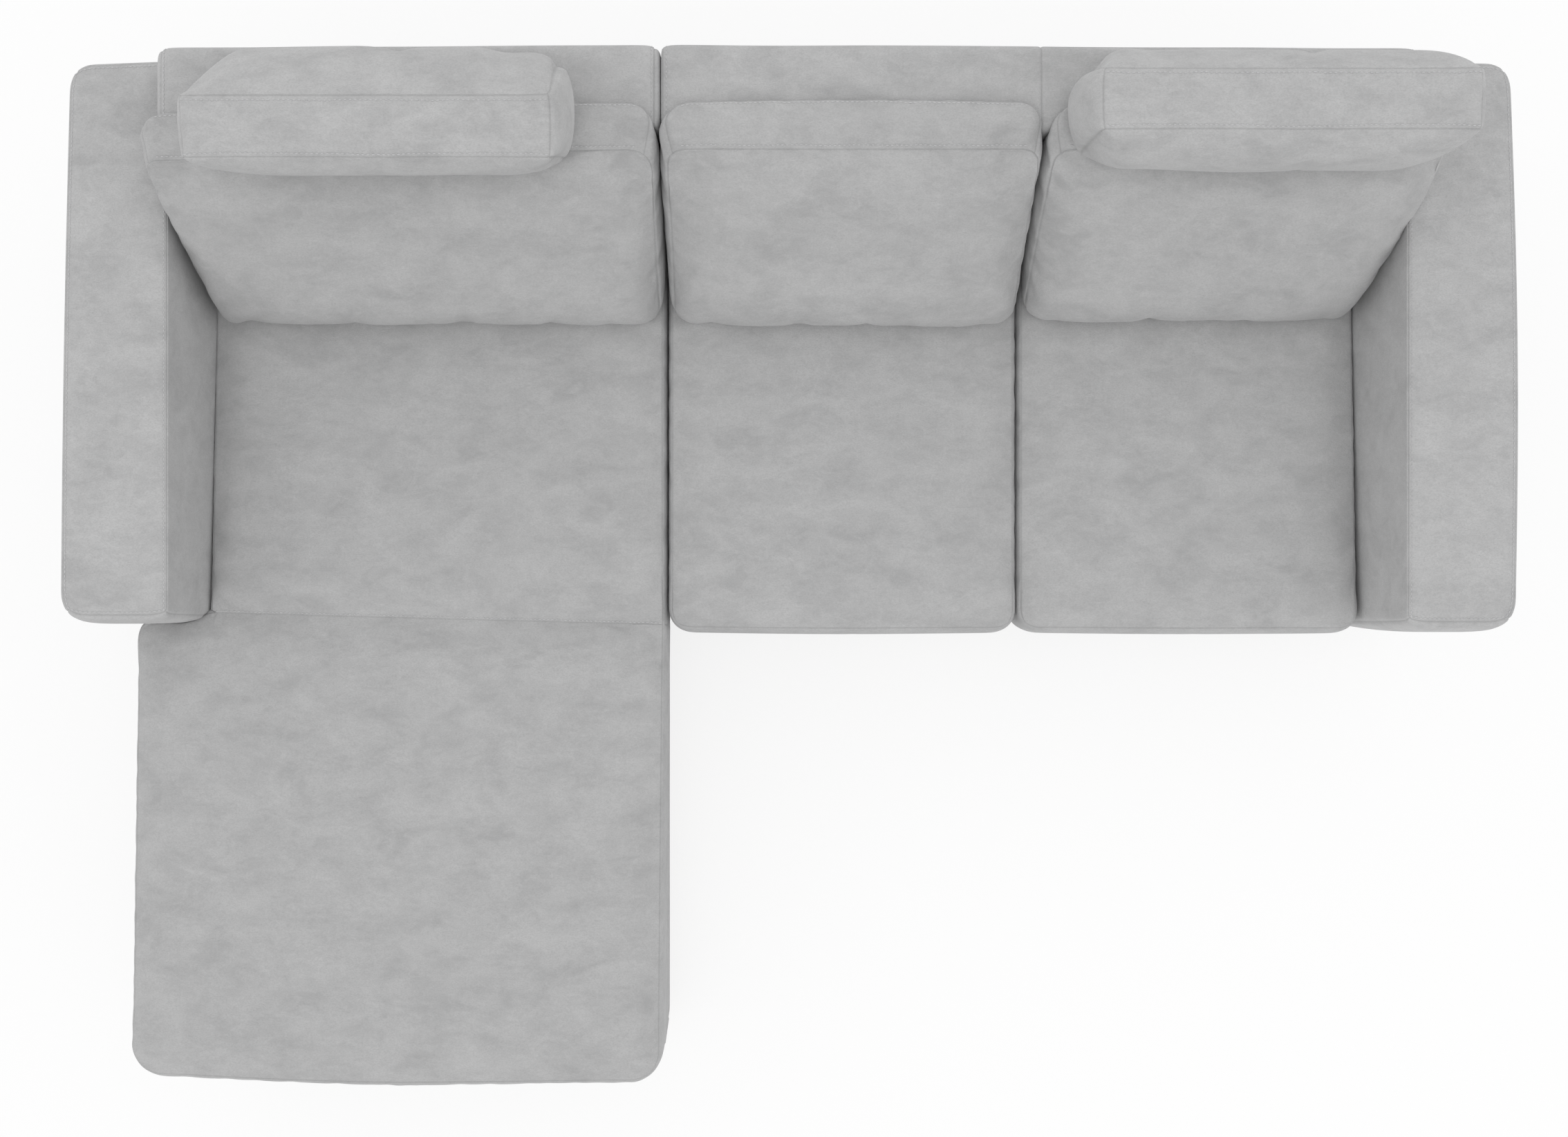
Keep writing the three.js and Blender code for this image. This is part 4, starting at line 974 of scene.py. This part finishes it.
chaise_low, chaise_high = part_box("chaise_seat_cushion")
chaise_left_corner = 0.060
chaise_right_corner = 0.058
chaise_wing_corner = 0.040  # where the wing before the arm ends at the rear
chaise_proud = 0.002  # how far the foot's left side stands beyond the solid
chaise_bows = (0.022, 0.007)
chaise_rear_narrowing = 0.013
chaise_front_narrowing = 0.008
chaise_front_seam = 0.008
chaise_right_gap = 0.0015
wing_lap = 0.012  # how far the wing reaches past the front of the arm's solid
wing_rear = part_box("left_arm_cover")[0].y + wing_lap
notch_left = -1.109
notch_taper = 0.014
notch_fade = 0.06  # how far left of the notch the cross seam's slant fades out
cross_seam_y = -0.050
cross_seam_slant = (0.012, -0.011)  # how far its left and its right end lie off that line
cross_seam_reach = 0.12  # how far before and behind the seam the panel goes with that slant
cross_stitch_start = 0.004  # how far right of the notch the row beside the seam starts to sink in
chaise_xs = mesh_lines(
    chaise_low.x - chaise_proud, chaise_high.x - seat_roll - chaise_right_gap, seat_pitch,
    [notch_left + seat_roll],
)
chaise_ys = mesh_lines(
    chaise_low.y + chaise_front_seam, chaise_high.y - seat_roll, seat_pitch,
    [wing_rear - seat_roll, cross_seam_y],
)
notch_x = min(chaise_xs, key=lambda x: abs(x - notch_left - seat_roll))
notch_y = min(chaise_ys, key=lambda y: abs(y - wing_rear + seat_roll))
cross_row = min(chaise_ys, key=lambda y: abs(y - cross_seam_y))
chaise_radii = (chaise_left_corner, chaise_right_corner, None, seat_rear_corner)
chaise_corners = [
    *square_corners(chaise_xs, chaise_ys, chaise_radii),
    (chaise_xs[0], notch_y, -1, 1, chaise_wing_corner),
    (notch_x, chaise_ys[-1], -1, 1, seat_rear_corner),
]


def chaise_slant(x, y):
    from_left = (x - chaise_xs[0]) / (chaise_xs[-1] - chaise_xs[0])
    ahead = clamped((notch_y - y) / (notch_y - chaise_ys[0]))
    in_wing = y < notch_y + 0.001
    narrowed = chaise_rear_narrowing * (1 - ahead) * max(0.0, 1 - from_left * 3) if in_wing else 0.0
    narrowed -= chaise_front_narrowing * ahead * max(0.0, from_left * 3 - 2)
    across = clamped((x - notch_x) / (chaise_xs[-1] - notch_x))
    lean = blend(*cross_seam_slant, across)
    near_seam = math.exp(-((y - cross_seam_y) / cross_seam_reach) ** 2)
    near_seam *= smoothstep(x, notch_x - notch_fade, notch_x)
    along = clamped((y - notch_y) / (chaise_ys[-1] - notch_y))
    backward = lean * near_seam + fallen_back(chaise_bows, from_left, ahead)
    return notch_taper * along * (1 - across) + narrowed, backward


chaise, chaise_form = seat_cushion(
    "chaise_seat_cover", "chaise_seat_cushion", chaise_xs, chaise_ys, chaise_corners, chaise_slant,
    contacts=[(arms["left_arm_cover"], [forward, rightward])],
    gone=lambda x, y: x < notch_x and y > notch_y, seam_rows=[cross_row],
    cross_start=notch_x + cross_stitch_start,
)
cross_columns = range(chaise_xs.index(notch_x) + 2, len(chaise_xs) - 2)
cross_stitches = [(i, chaise_ys.index(cross_row) + stitch_step) for i in cross_columns]
stitch(chaise_form, chaise, "chaise_cross_stitching", [cross_stitches], "chaise_seat_cushion")


# Back cushions. Deep wedges of fibre-filled foam in zipped covers, sewn like the seats, with top stitching on
# the boxing strip. They stand on the seats, lean on the backs and lap a little over their tops.
wedge_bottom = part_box("middle_seat_cushion")[1].z - 0.010
wedge_foot_front = (0.517, wedge_bottom)  # y and z
wedge_foot_rear = (back_front - 0.001, wedge_bottom)
wedge_head_front = (0.767, 0.800)
wedge_head_rear = (0.847, 0.822)
wedge_foot_bulge = 0.030  # how far the front panel rolls out over the seat beyond its lower seam
wedge_foot_fade = (0.06, 0.28)  # how far up that bulge starts and ends to fade out
wedge_foot_roll_width = 0.05
wedge_rear_bow = 0.006  # how far the upper rear edge falls forward towards its ends
wedge_rear_round = 0.044  # radius, seen from above, of the upper rear corners
wedge_rear_rise = (0.4, 0.9)  # shares of the height between which those corners grow round
wedge_rear_fullness = 0.004
wedge_rear_width = 0.03
wedge_thickness = 0.1
wedge_roll = 0.008
wedge_roll_width = 0.03
wedge_crown = 0.030
wedge_edge_swell = 0.008  # of the boxing strip along the top and the foot
wedge_unevenness = 0.005
wedge_unevenness_width = 0.07
wedge_creases = 0.0016
wedge_foot_corner = 0.040
wedge_head_corner = 0.014
wedge_pitch = 0.013
wedge_strip_pitch = 0.0125
wedge_caps = (0.016, 0.003, 0.003)
wedge_slack = 0.03
wedge_rise = [head - foot for foot, head in zip(wedge_foot_front, wedge_head_front)]
wedge_run = math.hypot(*wedge_rise)
wedge_out = (-wedge_rise[1] / wedge_run, wedge_rise[0] / wedge_run)
back_cushion_fabric = brushed_fabric("back_cushion_fabric", 0.99, drift=7.7)


def wedge_place(x, up, through):
    share = up / wedge_run
    depth = clamped(through / wedge_thickness)
    proud = through - depth * wedge_thickness
    front, rear = (
        Vector([blend(low, high, share) for low, high in zip(foot, head)])
        for foot, head in ((wedge_foot_front, wedge_head_front), (wedge_foot_rear, wedge_head_rear))
    )
    at = rear.lerp(front, depth)
    out = Vector(wedge_out) if proud > 0 else Vector((-1.0, 0.0))
    return (x, at[0] + proud * out[0], at[1] + proud * out[1])


def curve_through(share, values):
    """A smooth curve through its values at the foot, half way up and at the head."""
    foot, middle, head = values
    ends = foot * (1 - share) * (1 - 2 * share) + head * share * (2 * share - 1)
    return ends + middle * 4 * share * (1 - share)


def boxing_rows(form, margin):
    """The two rows of top stitching on the boxing strip, beside its seams and along the top."""
    last, upper = len(form.xs) - 1, len(form.ys) - 1
    sewn_down = stretch(form.rim, lambda key: key[1] == upper and margin < key[0] < last - margin)
    return [[(key, level) for key in sewn_down] for level in (len(form.zs) - 1 - stitch_step, stitch_step)]


def back_cushion(name, node, left, right, swells, head_corners, contacts, seed, forward_left=0.0,
                 foot_back=0.0):
    """left and right are the places of the side seams at the foot, half way up and at the head, and swells
    how far the strip stands out beyond them, at the left foot and head and at the right foot and head.
    forward_left is how far its left end leans forward at the head, and foot_back how far its foot is set
    back."""
    width = right[2] - left[2]
    xs = mesh_lines(0.0, width, wedge_pitch)
    ups = mesh_lines(0.0, wedge_run, wedge_pitch)
    zs = mesh_lines(0.0, wedge_thickness, wedge_strip_pitch)
    radii = (wedge_foot_corner, wedge_foot_corner, wedge_head_corner, wedge_head_corner)
    form = SewnForm(xs, ups, zs, square_corners(xs, ups, radii))
    front_corners = square_corners(xs, ups, (None, None, *head_corners))
    rear_corners = square_corners((0.0, width), (0.0,), (wedge_rear_round, wedge_rear_round, None, None))

    def place(x, up, through):
        share = clamped(up / wedge_run)
        start = curve_through(share, left)
        end = curve_through(share, right)
        ahead = clamped(through / wedge_thickness)
        x_soft, up_soft = rounded(x, up, front_corners)
        x += (x_soft - x) * ahead
        up += (up_soft - up) * ahead
        high = smoothstep(share, *wedge_rear_rise)
        x_round, through_round = rounded(x, through, rear_corners)
        x += (x_round - x) * high
        through += (through_round - through) * high
        u = 2 * x / width - 1
        rearward = (1 - clamped(through / wedge_thickness)) * share
        at = wedge_place(start + (end - start) * x / width, up, through)
        fallen = wedge_rear_bow * u * u * rearward + forward_left * share * (1 - x / width)
        return (at[0], at[1] - fallen + foot_back * (1 - share) * ahead, at[2])

    def panel(x, up, inset):
        u = 2 * x / width - 1
        v = 2 * up / wedge_run - 1
        dome = max(0.0, 1 - abs(u) ** 3) * max(0.0, 1 - abs(v) ** 2.6)
        soft = wedge_unevenness * noise.noise((x * 4.5 + seed, up * 4.5, seed))
        soft *= min(inset / wedge_unevenness_width, 1.0)
        foot = wedge_foot_bulge * (1 - smoothstep(up, *wedge_foot_fade))
        foot *= 0.7 + 0.3 * math.cos(math.pi / 2 * u)
        roll = rolled(inset, wedge_roll, wedge_roll_width) + rolled(inset, foot, wedge_foot_roll_width)
        return roll + wedge_crown * dome + soft

    def rear(x, up, inset):
        return rolled(inset, wedge_rear_fullness, wedge_rear_width)

    def strip(x, up, z, out):
        share = up / wedge_run
        swell = blend(*(swells[:2] if out[0] < 0 else swells[2:]), share)
        full = math.sin(math.pi * z / wedge_thickness) ** 0.5
        creases = wedge_creases * noise.noise((x * 13, z * 9, up * 13 + seed))
        return (abs(out[0]) * swell + abs(out[1]) * wedge_edge_swell + creases) * full

    top_corners = {(0, len(ups) - 1), (len(xs) - 1, len(ups) - 1)}
    rows = boxing_rows(form, 3)
    piece = form.build(name, place, panel, strip, back=rear, seam_corners=top_corners, stitched_rows=rows)
    filled(form, piece, node, wedge_caps, wedge_slack, contacts, back_cushion_fabric)
    stitch(form, piece, name + "_stitching", rows, node)
    return piece


leaning = [(back, [upward, forward]) for back in backs.values()]
left_back_cushion = back_cushion(
    "left_back_cushion_cover", "left_back_cushion", left=(-1.077, -1.107, -1.118),
    right=(-0.246, -0.2455, -0.245), swells=(0.002, 0.004, 0.009, 0.008), head_corners=(0.024, 0.046),
    contacts=[(seats["chaise_seat_cushion"], [upward]), *leaning, (arms["left_arm_cover"], [rightward])],
    seed=2.0, forward_left=0.020,
)
middle_back_cushion = back_cushion(
    "middle_back_cushion_cover", "middle_back_cushion", left=(-0.219, -0.219, -0.219),
    right=(0.4243, 0.4252, 0.4250), swells=(0.010, 0.014, 0.003, 0.004), head_corners=(0.034, 0.034),
    contacts=[(seats["middle_seat_cushion"], [upward]), *leaning, (left_back_cushion, [rightward])],
    seed=5.0,
)
right_back_cushion = back_cushion(
    "right_back_cushion_cover", "right_back_cushion", left=(0.443, 0.4445, 0.450),
    right=(1.052, 1.108, 1.118), swells=(0.006, 0.011, 0.003, 0.006), head_corners=(0.034, 0.016),
    contacts=[
        (seats["right_seat_cushion"], [upward]), *leaning, (middle_back_cushion, [rightward]),
        (arms["right_arm_cover"], [leftward]),
    ],
    seed=9.0, foot_back=0.010,
)


# Head cushions. Two small box pillows of soft fibre stand on edge on the outer back cushions and the backs
# behind them. Front and rear panels swell far out, and the boxing strip is top stitched along both its edges.
head_thickness = 0.098
head_corner = 0.014
head_height = 0.218
head_top = 1.020  # of the strip along the top, at mid thickness
head_roll = 0.006
head_roll_width = 0.02
head_top_swell = 0.004
head_unevenness = 0.004
head_unevenness_width = 0.04
head_push_width = 0.1
head_pitch = 0.011
head_strip_pitch = 0.0115
head_caps = (0.009, 0.004, 0.009)
head_slack = 0.016
head_fabric = brushed_fabric("head_fabric", 1.05, drift=11.0)


def head_cushion(name, node, ends, top_y, lean, crowns, swells, pushed, front_ramps, rear_ramps, supports,
                 seed):
    """ends are the places of the end seams, crowns how far the front and the rear panel stand out, swells how
    far the end panels do, and pushed how much further back the rear panel's end seams lie at mid height. A
    ramp is how far in from an end the front or the rear panel reaches its full depth."""
    up = Vector((0, -math.sin(lean), math.cos(lean)))
    ahead = Vector((0, -math.cos(lean), -math.sin(lean)))
    origin = Vector((0, top_y, head_top))
    xs = mesh_lines(ends[0], ends[1], head_pitch)
    ups = mesh_lines(-head_height, 0.0, head_pitch)
    zs = mesh_lines(0.0, head_thickness, head_strip_pitch)
    form = SewnForm(xs, ups, zs, square_corners(xs, ups, [head_corner] * 4))

    def mid_height(y):
        return math.sin(math.pi * clamped(-y / head_height))

    def dome(x, y, ramps):
        v = 2 * (y - ups[0]) / head_height - 1
        across = min((x - xs[0]) / ramps[0], (xs[-1] - x) / ramps[1], 1.0)
        return math.sin(math.pi / 2 * max(across, 0.0)) * max(0.0, 1 - abs(v) ** 2.2)

    def place(x, y, z):
        near_left = smoothstep(x, xs[0] + head_push_width, xs[0]) * pushed[0]
        near_right = smoothstep(x, xs[-1] - head_push_width, xs[-1]) * pushed[1]
        rearward = (near_left + near_right) * mid_height(y) * (1 - clamped(z / head_thickness))
        return origin + up * y + ahead * (z - head_thickness / 2 - rearward) + Vector((x, 0, 0))

    def panel(x, y, inset):
        soft = head_unevenness * noise.noise((x * 6 + seed, y * 6, seed))
        soft *= min(inset / head_unevenness_width, 1.0)
        return rolled(inset, head_roll, head_roll_width) + crowns[0] * dome(x, y, front_ramps) + soft

    def rear(x, y, inset):
        return rolled(inset, head_roll, head_roll_width) + crowns[1] * dome(x, y, rear_ramps)

    def strip(x, y, z, out):
        share = math.sin(math.pi * (z / head_thickness) ** 0.8)
        end_swell = swells[0] if out[0] < 0 else swells[1]
        at_end = abs(out[0]) * end_swell * share ** 0.4 * mid_height(y) ** 0.6
        return at_end + head_top_swell * max(out[1], 0.0) * share ** 0.5

    all_corners = {(i, j) for i in (0, len(xs) - 1) for j in (0, len(ups) - 1)}
    rows = boxing_rows(form, 1)
    piece = form.build(name, place, panel, strip, back=rear, seam_corners=all_corners, stitched_rows=rows)
    contacts = [(support, [upward]) for support in supports]
    filled(form, piece, node, head_caps, head_slack, contacts, head_fabric)
    stitch(form, piece, name + "_stitching", rows, node)


head_cushion(
    "left_head_cushion_cover", "left_head_cushion", ends=(-0.990, -0.394), top_y=0.754, lean=math.radians(12),
    crowns=(0.014, 0.072), swells=(0.006, 0.025), pushed=(0.0, 0.050), front_ramps=(0.14, 0.10),
    rear_ramps=(0.10, 0.14), supports=[left_back_cushion, backs["chaise_back_cover"]], seed=3.0,
)
head_cushion(
    "right_head_cushion_cover", "right_head_cushion", ends=(0.490, 1.100), top_y=0.799, lean=math.radians(2),
    crowns=(0.030, 0.038), swells=(0.032, 0.014), pushed=(0.012, 0.022), front_ramps=(0.06, 0.12),
    rear_ramps=(0.06, 0.10), supports=[right_back_cushion, backs["seat_back_cover"]], seed=8.0,
)


# Studio. A pale floor and an even white surround, one large soft light high overhead, and a camera that
# looks straight down from 4 m, as the photograph's does.
floor_size = 300.0
floor_white = (0.97, 0.97, 0.97, 1.0)
floor_share = 0.8
white = (1.0, 1.0, 1.0, 1.0)
world_strength = 0.94


def white_to_camera(tree, lit, share):
    """The camera and clear or glossy reflections see this share of plain white and the rest of what is lit,
    and all other light sees only what is lit."""
    path = tree.nodes.new("ShaderNodeLightPath")
    seen = path.outputs["Is Camera Ray"]
    for name in ("Is Glossy Ray", "Is Transmission Ray"):
        either = tree.nodes.new("ShaderNodeMath")
        either.operation = "MAXIMUM"
        tree.links.new(seen, either.inputs[0])
        tree.links.new(path.outputs[name], either.inputs[1])
        seen = either.outputs["Value"]
    part = tree.nodes.new("ShaderNodeMath")
    part.operation = "MULTIPLY"
    part.inputs[1].default_value = share
    tree.links.new(seen, part.inputs[0])
    plain = tree.nodes.new("ShaderNodeEmission" if lit.type == "SHADER" else "ShaderNodeBackground")
    plain.inputs["Strength"].default_value = 1.0
    plain.inputs["Color"].default_value = white
    mix = tree.nodes.new("ShaderNodeMixShader")
    tree.links.new(part.outputs["Value"], mix.inputs["Fac"])
    tree.links.new(lit, mix.inputs[1])
    tree.links.new(plain.outputs[0], mix.inputs[2])
    return mix.outputs["Shader"]


floor_mesh = bpy.data.meshes.new("studio_floor")
half = floor_size / 2
floor_corners = [(-half, -half, 0), (half, -half, 0), (half, half, 0), (-half, half, 0)]
floor_mesh.from_pydata(floor_corners, [], [(0, 1, 2, 3)])
studio_floor = add_object("studio_floor", floor_mesh)
floor_paint, tree, shader = plain_material("studio_floor", 0.9)
shader.inputs["Base Color"].default_value = floor_white
shader.inputs["Specular IOR Level"].default_value = 0.0
whitened = white_to_camera(tree, shader.outputs["BSDF"], floor_share)
tree.links.new(whitened, tree.nodes["Material Output"].inputs["Surface"])
floor_mesh.materials.append(floor_paint)

world = bpy.data.worlds.new("studio")
bpy.context.scene.world = world
world.use_nodes = True
tree = world.node_tree
surround = tree.nodes["Background"]
surround.inputs["Color"].default_value = white
surround.inputs["Strength"].default_value = world_strength
whitened = white_to_camera(tree, surround.outputs["Background"], 1.0)
tree.links.new(whitened, tree.nodes["World Output"].inputs["Surface"])

lamp_place = Vector((-0.3, -0.6, 6.5))
lamp_target = Vector((0.0, 0.0, 0.3))
lamp_size = 3.2
lamp_watts = 34.0
lamp = bpy.data.lights.new("overhead_light", "AREA")
lamp.shape = "SQUARE"
lamp.size = lamp_size
lamp.energy = lamp_watts
overhead = add_object("overhead_light", lamp)
overhead.location = lamp_place
overhead.rotation_euler = (lamp_target - lamp_place).to_track_quat("-Z", "Y").to_euler()

photo_width = 2268
photo_height = 1645
focal_px = 2694.0
principal_px = (1089.0, 819.0)
sensor_mm = 36.0
camera_place = (-0.0705, 0.051, 4.0)
camera_data = bpy.data.cameras.new("camera")
camera_data.sensor_width = sensor_mm
camera_data.lens = focal_px / photo_width * sensor_mm
camera_data.shift_x = (photo_width / 2 - principal_px[0]) / photo_width
camera_data.shift_y = (principal_px[1] - photo_height / 2) / photo_width
camera = add_object("camera", camera_data)
camera.location = camera_place
bpy.context.scene.camera = camera
bpy.context.scene.view_settings.view_transform = "Standard"
